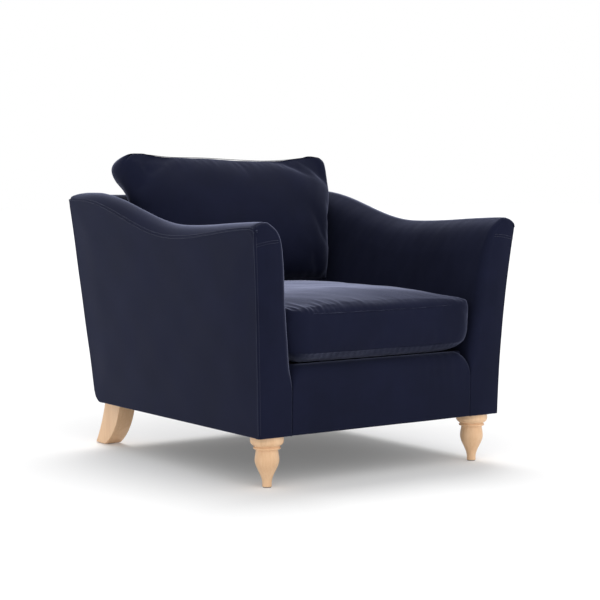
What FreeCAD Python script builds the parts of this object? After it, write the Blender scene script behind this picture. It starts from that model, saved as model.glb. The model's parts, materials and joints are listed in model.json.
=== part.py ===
import FreeCAD, Part
import math
import os

# Upholstered armchair, in millimetres. +Z is up, the sitter faces -Y and the sitter's left is +X.
# While it is being built, y is measured from the front hem and z from the floor; at the end every
# piece moves so that the origin is at the bottom centre of the bounding box.

V = FreeCAD.Vector

# ---- body: outer shape -------------------------------------------------------------------------
BODY_BOTTOM_Z = 137.0  # hem height above the floor
BODY_HALF_WIDTH = 410.0  # at the hem
BODY_DEPTH = 882.0  # front hem to back hem
FLARE_RADIUS = 5500.0  # the arms lean out along this arc
FLARE_DROP = 70.0  # how far below the hem that arc is upright
LEAN_RADIUS = 6000.0  # the arm fronts lean forward along this arc
LEAN_DROP = 57.0
BACK_RAKE_DEG = 7.6
REAR_HEM_RADIUS = 28.0

# ---- arm line: crown is the top of the roll, seam is where the outside panel stops --------------
ARM_FRONT_CROWN_Z = 698.5
ARM_DIP_CROWN_Z = 682.5
ARM_BACK_CROWN_Z = 765.0
ARM_FRONT_SEAM_Z = 683.5
ARM_DIP_SEAM_Z = 650.0
ARM_BACK_SEAM_Z = 749.0
ARM_FRONT_Y = -45.0
CROWN_DIP_Y = 345.0
CROWN_TOP_Y = BODY_DEPTH - 12.0
SEAM_DIP_Y = 365.0
SEAM_TOP_Y = BODY_DEPTH + 23.0
ARM_THICKNESS = 104.0  # at the hem
ARM_INNER_X = BODY_HALF_WIDTH - ARM_THICKNESS  # inside face of the arm below the kink
ARM_KINK_Z = 298.0
ARM_INNER_SLOPE = 0.112
CROWN_WIDTH = 46.0  # outside seam to the crest of the roll
CROWN_ROUND_DROP = 92.0  # height over which the inside face rolls over to the crest
CROWN_ROUND_WIDTH = 57.0
CAP_SEAM_Z = 646.0
FRONT_EDGE_RADIUS = 8.0

# ---- thicknesses -------------------------------------------------------------------------------
PANEL_T = 12.0  # padded outside arm panel
BACK_PANEL_T = 10.0
FRONT_PAD_T = 22.0
ARM_TIMBER_T = 34.0
ARM_BOARD_T = 3.0
BACK_TIMBER_T = 40.0
WEBBING_T = 2.0
DUST_COVER_T = 1.5
SPRING_COVER_T = 3.0
DECK_CLOTH_T = 3.0

# ---- seat frame and deck -----------------------------------------------------------------------
SEAT_RAIL_TOP_Z = 278.0
FRONT_RAIL_T = 40.0
SIDE_RAIL_T = 32.0
DECK_Z = 320.0  # top of the deck that the cushion lies on
LIP_DEPTH = 50.0
LIP_RADIUS = 33.0
CORNER_BLOCK = 62.0
CORNER_BLOCK_H = 70.0
CORNER_BLOCK_RISE = 20.0
SPRING_COUNT = 6
SPRING_WIRE_R = 1.9
SPRING_WIDTH = 46.0
SPRING_PITCH = 26.0
SPRING_SIDE_MARGIN = 8.0
CLIP_BASE_T = 1.2
CLIP_COVER_T = 1.5
CLIP_WIDTH = 18.0
CLIP_DEPTH = 11.0

# ---- arm and back frames -----------------------------------------------------------------------
POST_DEPTH = 60.0
ARM_TOP_RAIL_H = 45.0
ARM_BOTTOM_RAIL_H = 66.0
STRUT_DEPTH = 45.0
STRUT_Y = BODY_DEPTH / 2 - 11.0
BACK_RAIL_TOP_Z = 735.0
BACK_TOP_RAIL_H = 55.0
TUCK_RAIL_Z = 335.0
TUCK_RAIL_H = 45.0
UPRIGHT_WIDTH = 45.0
WEBBING_COUNT = 5
WEBBING_WIDTH = 50.0
INSIDE_BACK_Y = BODY_DEPTH - 122.0  # inside back face at deck height
INSIDE_BACK_RAKE_DEG = 13.77
BORDER_CROWN_Z = 757.0
BORDER_SEAM_Z = 744.0
BORDER_CROWN_SETBACK = 40.0

# ---- legs and fasteners ------------------------------------------------------------------------
FRONT_LEG_X = BODY_HALF_WIDTH - 56.0
FRONT_LEG_Y = 48.0
GLIDE_T = 2.5
FOOT_R = 12.6
FOOT_H = 12.0
VASE_R = 32.5
VASE_Z = 71.0
NECK_R = 29.0
NECK_Z = 102.0
RING_R = 36.3
RING_T = 5.5
GROOVE_R = 33.0
BEAD_R = 44.8
BEAD_Z = 125.0
BACK_LEG_OUTER_X = BODY_HALF_WIDTH - 38.0
BACK_LEG_W = 55.0
BACK_LEG_FOOT_FRONT_Y = BODY_DEPTH + 15.0
BACK_LEG_FOOT_DEPTH = 58.0
BACK_LEG_TOP_FRONT_Y = BODY_DEPTH - 77.0
BACK_LEG_TOP_DEPTH = 89.0
BACK_LEG_FRONT_BOW = 21.0
BACK_LEG_REAR_BOW = 6.5
LEG_EDGE_R = 2.0
GLIDE_INSET = 1.5
BOLT_R = 4.0
BOLT_IN_LEG = 35.0
BOLT_IN_RAIL = 45.0
T_NUT_R = 5.5
T_NUT_H = 12.0
T_NUT_FLANGE_R = 9.5
T_NUT_FLANGE_T = 1.5
ARM_BOLT_Z = 172.0
ARM_BOLT_Y = (200.0, BODY_DEPTH - 242.0)
BOLT_HEAD_R = 9.0
BOLT_HEAD_T = 5.0
NUT_R = 7.5
NUT_T = 6.5

# ---- seat cushion ------------------------------------------------------------------------------
REST_GAP = 0.3  # between a loose cushion and what it rests on
CUSHION_SIDE_GAP = 3.0
SEAT_FRONT_Y = -6.0
SEAT_REAR_Y = INSIDE_BACK_Y - 10.0
SEAT_BOTTOM_SEAM_Z = 350.0
SEAT_TOP_SEAM_Z = 464.0
SEAT_CROWN_Z = 502.0
SEAT_TUCK = 42.0  # how far the underside's edge lies inside the bottom seam
SEAT_BORDER_BULGE = 6.0
SEAT_CORNER_R = 36.0
SEAT_PLAN_CLEARANCE = 1.5  # how far the rounded plan stands outside the other two outlines
SEAT_CROSS_RISE = 4.0  # how far the crossways crown's arc passes over the lengthways one
COVER_T = 3.0
WRAP_T = 15.0

# ---- back cushion ------------------------------------------------------------------------------
BACK_SEAM_FOOT_Y = INSIDE_BACK_Y - 57.0
BACK_SEAM_TOP_Y = INSIDE_BACK_Y + 22.0
BACK_SEAM_TOP_Z = 876.0
BACK_FOOT_Z = 482.0
BACK_BELLY_Y = INSIDE_BACK_Y - 132.0
BACK_BELLY_Z = 572.0
BACK_HALF_TOP = ARM_INNER_X + 50.0
BACK_HALF_FOOT = ARM_INNER_X + 16.0
BACK_REAR_TOP_Z = 846.0
BACK_TOP_RISE = 12.0
BACK_FOOT_CHAMFER = 34.0
BACK_SIDE_THICKNESS = 75.0

# ---- zips --------------------------------------------------------------------------------------
ZIP_T = 1.5
ZIP_WIDTH = 20.0
ZIP_END_MARGIN = 90.0
SLIDER_GAP = 0.3
SLIDER_T = 4.0
SLIDER_LENGTH = 12.0
SLIDER_WIDTH = 9.0

# ---- working volumes: how far they reach past the chair ----------------------------------------
WORK_REACH_FRONT = 40.0
WORK_REACH_BACK = 160.0
WORK_REACH_BELOW = 40.0
WORK_REACH_TOP = 60.0
WORK_REACH_SIDE = 120.0

# ---- worked out from the sizes above -----------------------------------------------------------
FRAME_Z = BODY_BOTTOM_Z + DUST_COVER_T
ARM_SHELL = PANEL_T + ARM_TIMBER_T
BACK_SHELL = BACK_PANEL_T + BACK_TIMBER_T
FRONT_RAIL_REAR_Y = FRONT_PAD_T + FRONT_RAIL_T
SPRING_Z = SEAT_RAIL_TOP_Z + CLIP_BASE_T + SPRING_WIRE_R
SPRING_COVER_Z = SPRING_Z + SPRING_WIRE_R + CLIP_COVER_T
DECK_FOAM_Z = SPRING_COVER_Z + SPRING_COVER_T
CUT_BEFORE_Y = ARM_FRONT_Y - WORK_REACH_FRONT
CUT_BEHIND_Y = BODY_DEPTH + WORK_REACH_BACK
CUT_BELOW_Z = BODY_BOTTOM_Z - WORK_REACH_BELOW
CUT_TOP_Z = ARM_BACK_CROWN_Z + WORK_REACH_TOP
CUT_SIDE_X = BODY_HALF_WIDTH + WORK_REACH_SIDE
ARM_STATION_COUNT = 13
SEAM_POINT_COUNT = 25


# ---- curves of the body ------------------------------------------------------------------------
def flare(z):
    """How far the outside of the arm lies beyond the hem's half width at height z, at the front."""
    rise = z - BODY_BOTTOM_Z
    return ((rise + FLARE_DROP) ** 2 - FLARE_DROP ** 2) / (2 * FLARE_RADIUS)


def outer_x(y, z):
    """Outside face of the arm: curved at the front and straight by the time it reaches the back."""
    straight = flare(ARM_BACK_SEAM_Z) * (z - BODY_BOTTOM_Z) / (ARM_BACK_SEAM_Z - BODY_BOTTOM_Z)
    share = (y - CUT_BEFORE_Y) / (CUT_BEHIND_Y - CUT_BEFORE_Y)
    return BODY_HALF_WIDTH + (1 - share) * flare(z) + share * straight


def inner_x(z):
    """Inside face of the arm."""
    return ARM_INNER_X + ARM_INNER_SLOPE * max(0.0, z - ARM_KINK_Z)


def front_y(z):
    """Front face of the body."""
    rise = z - BODY_BOTTOM_Z
    return -((rise + LEAN_DROP) ** 2 - LEAN_DROP ** 2) / (2 * LEAN_RADIUS)


def back_y(z):
    """Outside back face."""
    return BODY_DEPTH + math.tan(math.radians(BACK_RAKE_DEG)) * (z - BODY_BOTTOM_Z)


def inside_back_y(z):
    """Inside back face, which the back cushion leans on."""
    return INSIDE_BACK_Y + math.tan(math.radians(INSIDE_BACK_RAKE_DEG)) * (z - DECK_Z)


def swoop(y, front_z, dip_z, top_z, dip_y, top_y):
    """Height of the arm line: a half wave down to the dip and another up to the back."""
    if y < dip_y:
        share = min(1.0, (dip_y - y) / (dip_y - ARM_FRONT_Y))
        return dip_z + (front_z - dip_z) * (1 - math.cos(math.pi * share)) / 2
    share = min(1.0, (y - dip_y) / (top_y - dip_y))
    return dip_z + (top_z - dip_z) * (1 - math.cos(math.pi * share)) / 2


def crown_z(y):
    return swoop(y, ARM_FRONT_CROWN_Z, ARM_DIP_CROWN_Z, ARM_BACK_CROWN_Z, CROWN_DIP_Y, CROWN_TOP_Y)


def seam_z(y):
    return swoop(y, ARM_FRONT_SEAM_Z, ARM_DIP_SEAM_Z, ARM_BACK_SEAM_Z, SEAM_DIP_Y, SEAM_TOP_Y)


# ---- drawing helpers ---------------------------------------------------------------------------
def spaced(start, end, count):
    """Evenly spaced values from start to end."""
    return [start + (end - start) * i / (count - 1) for i in range(count)]


def closed_wire(start, *steps):
    """A closed outline: a point adds a line, a pair adds an arc, a list adds a smooth curve."""
    edges = []
    here = start
    for step in steps:
        if isinstance(step, list):
            curve = Part.BSplineCurve()
            curve.interpolate([here] + step)
            edges.append(curve.toShape())
            here = step[-1]
        elif isinstance(step, tuple):
            edges.append(Part.Arc(here, step[0], step[1]).toShape())
            here = step[1]
        else:
            edges.append(Part.LineSegment(here, step).toShape())
            here = step
    if here.distanceToPoint(start) > 0.001:
        edges.append(Part.LineSegment(here, start).toShape())
    return Part.Wire(edges)


def side_prism(wire, low_x, high_x):
    """A side-view outline (drawn at x = 0) made solid from low_x to high_x."""
    wire.translate(V(low_x, 0, 0))
    return Part.Face(wire).extrude(V(high_x - low_x, 0, 0))


def front_prism(wire, low_y, high_y):
    """A front-view outline (drawn at y = 0) made solid from low_y to high_y."""
    wire.translate(V(0, low_y, 0))
    return Part.Face(wire).extrude(V(0, high_y - low_y, 0))


def block(x0, x1, y0, y1, z0, z1):
    return Part.makeBox(x1 - x0, y1 - y0, z1 - z0, V(x0, y0, z0))


def rod(start, direction, radius, length):
    return Part.makeCylinder(radius, length, start, direction)


def yz(y, z):
    return V(0, y, z)


def mirrored(shape):
    return shape.mirror(V(0, 0, 0), V(1, 0, 0))


def both_sides(shape):
    return [shape, mirrored(shape)]


def group(solids):
    return Part.makeCompound(solids)


# ---- working volumes ---------------------------------------------------------------------------
def arm_slab(outer_inset, inner_inset):
    """The layer of the left arm between two depths below its outside face."""
    middle_z = (CUT_BELOW_Z + CUT_TOP_Z) / 2
    sections = []
    for y in (CUT_BEFORE_Y, CUT_BEHIND_Y):
        outside = [V(outer_x(y, z) - outer_inset, y, z) for z in (CUT_BELOW_Z, middle_z, CUT_TOP_Z)]
        inside = [V(outer_x(y, z) - inner_inset, y, z) for z in (CUT_TOP_Z, middle_z, CUT_BELOW_Z)]
        sections.append(closed_wire(outside[0], outside[1:], inside[0], inside[1:]))
    return Part.makeLoft(sections, True, True)


def under_seam(drop):
    """Everything lower than the arm's seam line, less drop."""
    ys = spaced(CUT_BEFORE_Y, CUT_BEHIND_Y, SEAM_POINT_COUNT)
    line = [yz(y, seam_z(y) - drop) for y in ys]
    outline = closed_wire(yz(CUT_BEFORE_Y, 0), line[0], line[1:], yz(CUT_BEHIND_Y, 0))
    return side_prism(outline, 0, CUT_SIDE_X)


def front_layer(depth_from, depth_to, low_z, high_z):
    """The layer behind the leaning front face, between two depths and two heights."""
    levels = (BODY_BOTTOM_Z, (BODY_BOTTOM_Z + CUT_TOP_Z) / 2, CUT_TOP_Z)
    outside = [yz(front_y(z) + depth_from, z) for z in levels]
    inside = [yz(front_y(z) + depth_to, z) for z in reversed(levels)]
    outline = closed_wire(outside[0], tuple(outside[1:]), inside[0], tuple(inside[1:]))
    layer = side_prism(outline, -CUT_SIDE_X, CUT_SIDE_X)
    return layer.common(block(-CUT_SIDE_X, CUT_SIDE_X, -CUT_BEHIND_Y, 2 * CUT_BEHIND_Y, low_z, high_z))


def back_layer(inset_from, inset_to, low_z, high_z):
    """The layer in front of the raked outside back, between two depths."""
    outline = closed_wire(
        yz(back_y(low_z) - inset_from, low_z),
        yz(back_y(high_z) - inset_from, high_z),
        yz(back_y(high_z) - inset_to, high_z),
        yz(back_y(low_z) - inset_to, low_z),
    )
    return side_prism(outline, -CUT_SIDE_X, CUT_SIDE_X)


def skin_profile():
    """Side view of the whole body: leaning front, raked back, rounded rear hem and rear top."""
    middle_z = (BODY_BOTTOM_Z + CUT_TOP_Z) / 2
    crown_y = back_y(ARM_BACK_SEAM_Z) - BORDER_CROWN_SETBACK
    top_z = ARM_BACK_CROWN_Z + 1
    round_y = back_y(ARM_BACK_SEAM_Z) - 0.28 * BORDER_CROWN_SETBACK
    round_z = ARM_BACK_SEAM_Z + 0.68 * (top_z - ARM_BACK_SEAM_Z)
    hem_mid = REAR_HEM_RADIUS * (1 - math.sqrt(0.5))
    outline = closed_wire(
        yz(front_y(BODY_BOTTOM_Z), BODY_BOTTOM_Z),
        (yz(front_y(middle_z), middle_z), yz(front_y(CUT_TOP_Z), CUT_TOP_Z)),
        yz(crown_y, CUT_TOP_Z),
        yz(crown_y, top_z),
        (yz(round_y, round_z), yz(back_y(ARM_BACK_SEAM_Z), ARM_BACK_SEAM_Z)),
        yz(back_y(BODY_BOTTOM_Z + REAR_HEM_RADIUS), BODY_BOTTOM_Z + REAR_HEM_RADIUS),
        (
            yz(back_y(BODY_BOTTOM_Z) - hem_mid, BODY_BOTTOM_Z + hem_mid),
            yz(back_y(BODY_BOTTOM_Z) - REAR_HEM_RADIUS, BODY_BOTTOM_Z),
        ),
    )
    return side_prism(outline, -CUT_SIDE_X, CUT_SIDE_X)


def arm_section(y):
    """Cross-section of the left arm: inside face, rolled crown, outside face."""
    top = crown_z(y)
    seam = seam_z(y)
    round_z = top - CROWN_ROUND_DROP
    seam_x = outer_x(y, seam)
    crest_x = seam_x - CROWN_WIDTH
    half_z = (seam + BODY_BOTTOM_Z) / 2
    roll = [
        V(crest_x - 0.74 * CROWN_ROUND_WIDTH, y, top - 0.49 * CROWN_ROUND_DROP),
        V(crest_x - 0.42 * CROWN_ROUND_WIDTH, y, top - 0.2 * CROWN_ROUND_DROP),
        V(crest_x, y, top),
        V(crest_x + CROWN_WIDTH * math.sin(math.pi / 4), y, top - (top - seam) * (1 - math.cos(math.pi / 4))),
        V(seam_x, y, seam),
    ]
    return closed_wire(
        V(ARM_INNER_X, y, BODY_BOTTOM_Z),
        V(ARM_INNER_X, y, ARM_KINK_Z),
        V(inner_x(round_z), y, round_z),
        roll,
        [V(outer_x(y, half_z), y, half_z), V(outer_x(y, BODY_BOTTOM_Z), y, BODY_BOTTOM_Z)],
    )


def arm_block():
    """The whole left arm as one envelope, longer than the chair at both ends."""
    sections = [arm_section(y) for y in spaced(CUT_BEFORE_Y, CUT_BEHIND_Y, ARM_STATION_COUNT)]
    return Part.makeLoft(sections, True, False)


# ---- bolts, with the holes that they need -------------------------------------------------------
def leg_bolt_places():
    rear_y = BACK_LEG_TOP_FRONT_Y + BACK_LEG_TOP_DEPTH / 2
    rear_x = BACK_LEG_OUTER_X - BACK_LEG_W / 2
    return [(FRONT_LEG_X, FRONT_LEG_Y), (rear_x, rear_y)]


def leg_bolt(x, y):
    return rod(V(x, y, BODY_BOTTOM_Z - BOLT_IN_LEG), V(0, 0, 1), BOLT_R, BOLT_IN_LEG + BOLT_IN_RAIL)


def t_nut_blank(x, y):
    flange = rod(V(x, y, FRAME_Z), V(0, 0, 1), T_NUT_FLANGE_R, T_NUT_FLANGE_T)
    return flange.fuse(rod(V(x, y, FRAME_Z), V(0, 0, 1), T_NUT_R, T_NUT_H))


def leg_fixing_holes():
    """Left-hand holes for the leg bolts and their T-nuts."""
    holes = [leg_bolt(x, y) for x, y in leg_bolt_places()]
    holes += [t_nut_blank(x, y) for x, y in leg_bolt_places()]
    return holes


def arm_bolt(y):
    """Coach bolt through the arm's bottom rail and the seat's side rail: shank with its head."""
    head_x = outer_x(y, ARM_BOLT_Z) - PANEL_T - 1 - BOLT_HEAD_T
    end_x = side_rail_inner_x() - NUT_T - 1
    shank = rod(V(end_x, y, ARM_BOLT_Z), V(1, 0, 0), BOLT_R, head_x - end_x)
    return shank.fuse(rod(V(head_x, y, ARM_BOLT_Z), V(1, 0, 0), BOLT_HEAD_R, BOLT_HEAD_T))


def arm_bolt_hole(y):
    """The bolt's hole, with a counterbore that stays open to the outside of the rail."""
    head_x = outer_x(y, ARM_BOLT_Z) - PANEL_T - 1 - BOLT_HEAD_T
    return arm_bolt(y).fuse(rod(V(head_x, y, ARM_BOLT_Z), V(1, 0, 0), BOLT_HEAD_R, 2 * BOLT_HEAD_T))


def arm_bolt_nut(y):
    corner = [
        V(side_rail_inner_x() - NUT_T, y + NUT_R * math.cos(a), ARM_BOLT_Z + NUT_R * math.sin(a))
        for a in [math.radians(60 * i) for i in range(6)]
    ]
    nut = Part.Face(closed_wire(corner[0], *corner[1:])).extrude(V(NUT_T, 0, 0))
    return nut.cut(arm_bolt(y))


def cut_all(shape, tools):
    for tool in tools:
        shape = shape.cut(tool)
    return shape


# ---- arms --------------------------------------------------------------------------------------
def side_rail_inner_x():
    return outer_x(FRONT_RAIL_REAR_Y, FRAME_Z) - ARM_SHELL - SIDE_RAIL_T


def arm_parts(block_shape):
    """Timber, board, pads and panels of the left arm."""
    skin = skin_profile()
    seam = under_seam(0)
    timber = arm_slab(PANEL_T, ARM_SHELL)
    rail_under = under_seam(ARM_TOP_RAIL_H)
    bolt_holes = [arm_bolt_hole(y) for y in ARM_BOLT_Y]

    def in_arm_frame(shape):
        return shape.common(timber)

    inner_length = front_layer(FRONT_PAD_T, CUT_BEHIND_Y, FRAME_Z, CUT_TOP_Z)
    inner_length = inner_length.cut(back_layer(-CUT_BEHIND_Y, BACK_PANEL_T, 0, CUT_TOP_Z + WORK_REACH_TOP))
    front_post = front_layer(FRONT_PAD_T, FRONT_PAD_T + POST_DEPTH, FRAME_Z, CUT_TOP_Z).common(rail_under)
    back_post = back_layer(BACK_PANEL_T, BACK_PANEL_T + POST_DEPTH, FRAME_Z, CUT_TOP_Z).common(rail_under)
    top_rail = inner_length.common(seam).cut(rail_under)
    between = inner_length.common(rail_under).cut(front_post).cut(back_post)
    rail_top_z = FRAME_Z + ARM_BOTTOM_RAIL_H
    bottom_rail = between.common(block(0, CUT_SIDE_X, CUT_BEFORE_Y, CUT_BEHIND_Y, FRAME_Z, rail_top_z))
    strut = between.common(
        block(0, CUT_SIDE_X, STRUT_Y - STRUT_DEPTH / 2, STRUT_Y + STRUT_DEPTH / 2, rail_top_z, CUT_TOP_Z)
    )
    board = inner_length.common(seam).common(arm_slab(ARM_SHELL, ARM_SHELL + ARM_BOARD_T))
    board = board.cut(back_layer(-CUT_BEHIND_Y, BACK_PANEL_T + POST_DEPTH, 0, CUT_TOP_Z + 100))
    board = board.common(block(0, CUT_SIDE_X, CUT_BEFORE_Y, CUT_BEHIND_Y, SEAT_RAIL_TOP_Z, CUT_TOP_Z))

    cavity = arm_slab(-CUT_SIDE_X, ARM_SHELL + ARM_BOARD_T).common(seam)
    behind_back = closed_wire(
        yz(inside_back_y(0), 0),
        yz(inside_back_y(BACK_RAIL_TOP_Z), BACK_RAIL_TOP_Z),
        yz(CUT_BEHIND_Y, BACK_RAIL_TOP_Z),
        yz(CUT_BEHIND_Y, 0),
    )
    cover = block_shape.common(skin)
    cover = cover.common(block(0, CUT_SIDE_X, CUT_BEFORE_Y, CUT_BEHIND_Y, SEAT_RAIL_TOP_Z, CUT_TOP_Z))
    cover = cover.cut(front_layer(-CUT_SIDE_X, FRONT_PAD_T, 0, CUT_TOP_Z + 100))
    cover = cover.cut(cavity).cut(side_prism(behind_back, 0, CUT_SIDE_X))
    cover = cover.cut(back_layer(-CUT_SIDE_X, BACK_PANEL_T, BODY_BOTTOM_Z, BORDER_SEAM_Z))

    panel = arm_slab(0, PANEL_T).common(skin).common(seam)
    front = block_shape.common(front_layer(0, FRONT_PAD_T, BODY_BOTTOM_Z, CUT_TOP_Z))
    front = rounded_inner_edge(front)
    front = front.cut(arm_slab(-CUT_SIDE_X, PANEL_T).common(seam))
    cap_zone = block(0, CUT_SIDE_X, CUT_BEFORE_Y, CUT_BEHIND_Y, CAP_SEAM_Z, CUT_TOP_Z)
    return {
        "arm_front_post": in_arm_frame(front_post),
        "arm_back_post": in_arm_frame(back_post),
        "arm_top_rail": in_arm_frame(top_rail),
        "arm_bottom_rail": cut_all(in_arm_frame(bottom_rail), bolt_holes),
        "arm_strut": in_arm_frame(strut),
        "arm_inner_board": board,
        "arm_cover": cover,
        "outside_arm_panel": panel,
        "arm_front_panel": front.cut(cap_zone),
        "arm_front_cap": front.common(cap_zone),
    }


def rounded_inner_edge(front):
    """Rounds the upright edge where the arm's front meets its inside face."""
    chosen = []
    for edge in front.Edges:
        ends = [edge.valueAt(edge.FirstParameter), edge.valueAt(edge.LastParameter)]
        on_front = all(abs(p.y - front_y(p.z)) < 1.0 for p in ends)
        on_inside = all(abs(p.x - inner_x(p.z)) < 1.0 for p in ends)
        if on_front and on_inside and abs(ends[0].z - ends[1].z) > 1.0:
            chosen.append(edge)
    return front.makeFillet(FRONT_EDGE_RADIUS, chosen)


# ---- seat frame, springs and deck ---------------------------------------------------------------
def seat_frame_parts(slab):
    """Rails and corner blocks of the seat; slab is everything outside the inside of the arm frames."""
    slabs = both_sides(slab)
    holes = [hole for one in leg_fixing_holes() for hole in both_sides(one)]
    rear = back_layer(-CUT_BEHIND_Y, BACK_SHELL, 0, CUT_TOP_Z)
    front_rail = block(-CUT_SIDE_X, CUT_SIDE_X, FRONT_PAD_T, FRONT_RAIL_REAR_Y, FRAME_Z, SEAT_RAIL_TOP_Z)
    back_rail = back_layer(BACK_PANEL_T, BACK_SHELL, FRAME_Z, SEAT_RAIL_TOP_Z)
    inner = side_rail_inner_x()
    side_rail = block(inner, CUT_SIDE_X, FRONT_RAIL_REAR_Y, BODY_DEPTH, FRAME_Z, SEAT_RAIL_TOP_Z)
    side_rail = cut_all(side_rail, [rear, slab] + [arm_bolt(y) for y in ARM_BOLT_Y])
    low_z = FRAME_Z + CORNER_BLOCK_RISE
    front_corner = closed_wire(
        V(inner, FRONT_RAIL_REAR_Y, low_z),
        V(inner - CORNER_BLOCK, FRONT_RAIL_REAR_Y, low_z),
        V(inner, FRONT_RAIL_REAR_Y + CORNER_BLOCK, low_z),
    )
    meet_y = back_y(low_z) - BACK_SHELL
    back_corner = closed_wire(
        V(inner, meet_y + CORNER_BLOCK / 2, low_z),
        V(inner, meet_y - CORNER_BLOCK, low_z),
        V(inner - CORNER_BLOCK * 1.5, meet_y + CORNER_BLOCK / 2, low_z),
    )
    blocks = [Part.Face(w).extrude(V(0, 0, CORNER_BLOCK_H)) for w in (front_corner, back_corner)]
    blocks[1] = blocks[1].cut(rear)
    return {
        "front_rail": cut_all(front_rail, slabs + holes),
        "back_rail": cut_all(back_rail, slabs + holes),
        "seat_side_rail_left": side_rail,
        "seat_side_rail_right": mirrored(side_rail),
        "corner_blocks": group([s for b in blocks for s in both_sides(b)]),
    }


def spring_wire(x, start_y, bars):
    """One serpentine spring: straight bars joined by half-round bends, lying flat."""
    bend = SPRING_PITCH / 2
    half = SPRING_WIDTH / 2 - bend
    edges = []
    for i in range(bars):
        y = start_y + i * SPRING_PITCH
        side = 1 if i % 2 == 0 else -1
        bar = Part.LineSegment(V(x - side * half, y, SPRING_Z), V(x + side * half, y, SPRING_Z))
        edges.append(bar.toShape())
        if i < bars - 1:
            turn = Part.Arc(
                V(x + side * half, y, SPRING_Z),
                V(x + side * (half + bend), y + bend, SPRING_Z),
                V(x + side * half, y + SPRING_PITCH, SPRING_Z),
            )
            edges.append(turn.toShape())
    spine = Part.Wire(edges)
    ring = Part.Wire([Part.Circle(V(x - half, start_y, SPRING_Z), V(1, 0, 0), SPRING_WIRE_R).toShape()])
    return spine.makePipeShell([ring], True, False)


def deck_parts():
    """Springs, clips, spring cover, foam and deck cloth, from the springs up."""
    first_y = FRONT_RAIL_REAR_Y - CLIP_DEPTH / 2
    last_limit = back_y(SEAT_RAIL_TOP_Z) - BACK_SHELL + CLIP_DEPTH / 2
    bars = int((last_limit - first_y) / SPRING_PITCH) + 1
    last_y = first_y + (bars - 1) * SPRING_PITCH
    reach = ARM_INNER_X - SPRING_WIDTH / 2 - SPRING_SIDE_MARGIN
    springs, clips = [], []
    for x in spaced(-reach, reach, SPRING_COUNT):
        wire = spring_wire(x, first_y, bars)
        springs.append(wire)
        for y0, y1 in (
            (first_y - CLIP_DEPTH / 2, first_y + CLIP_DEPTH / 2),
            (last_y - CLIP_DEPTH / 2, last_limit + CLIP_DEPTH / 2),
        ):
            clip = block(x - CLIP_WIDTH / 2, x + CLIP_WIDTH / 2, y0, y1, SEAT_RAIL_TOP_Z, SPRING_COVER_Z)
            clips.append(clip.cut(wire))
    rear_y = back_y(SPRING_COVER_Z) - BACK_SHELL - WEBBING_T

    def layer(low_z, high_z):
        return block(-ARM_INNER_X, ARM_INNER_X, LIP_DEPTH, rear_y, low_z, high_z)

    return {
        "seat_springs": group(springs),
        "spring_clips": group(clips),
        "spring_cover": layer(SPRING_COVER_Z, DECK_FOAM_Z),
        "deck_foam": layer(DECK_FOAM_Z, DECK_Z - DECK_CLOTH_T),
        "deck_cloth": layer(DECK_Z - DECK_CLOTH_T, DECK_Z),
    }


def front_rail_cover():
    """Padded front border, whose top rolls back over the rail to meet the deck."""
    roll_z = DECK_Z - LIP_RADIUS
    face_y = front_y(roll_z)
    bow = LIP_RADIUS * (1 - math.sqrt(0.5))
    middle_z = (BODY_BOTTOM_Z + roll_z) / 2
    outline = closed_wire(
        yz(0, BODY_BOTTOM_Z),
        (yz(front_y(middle_z), middle_z), yz(face_y, roll_z)),
        (yz(face_y + bow, DECK_Z - bow), yz(face_y + LIP_RADIUS, DECK_Z)),
        yz(LIP_DEPTH, DECK_Z),
        yz(LIP_DEPTH, SEAT_RAIL_TOP_Z),
        yz(FRONT_PAD_T, SEAT_RAIL_TOP_Z),
        yz(FRONT_PAD_T, BODY_BOTTOM_Z),
    )
    return side_prism(outline, -ARM_INNER_X, ARM_INNER_X)


def dust_cover(outside):
    """Cloth under the frame, with holes for the leg bolts; outside is the pair of arm panels' layers."""
    rear_y = back_y(BODY_BOTTOM_Z) - REAR_HEM_RADIUS
    sheet = block(-CUT_SIDE_X, CUT_SIDE_X, FRONT_PAD_T, rear_y, BODY_BOTTOM_Z, FRAME_Z)
    bolts = [b for x, y in leg_bolt_places() for b in both_sides(leg_bolt(x, y))]
    return cut_all(sheet, outside + bolts)


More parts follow.
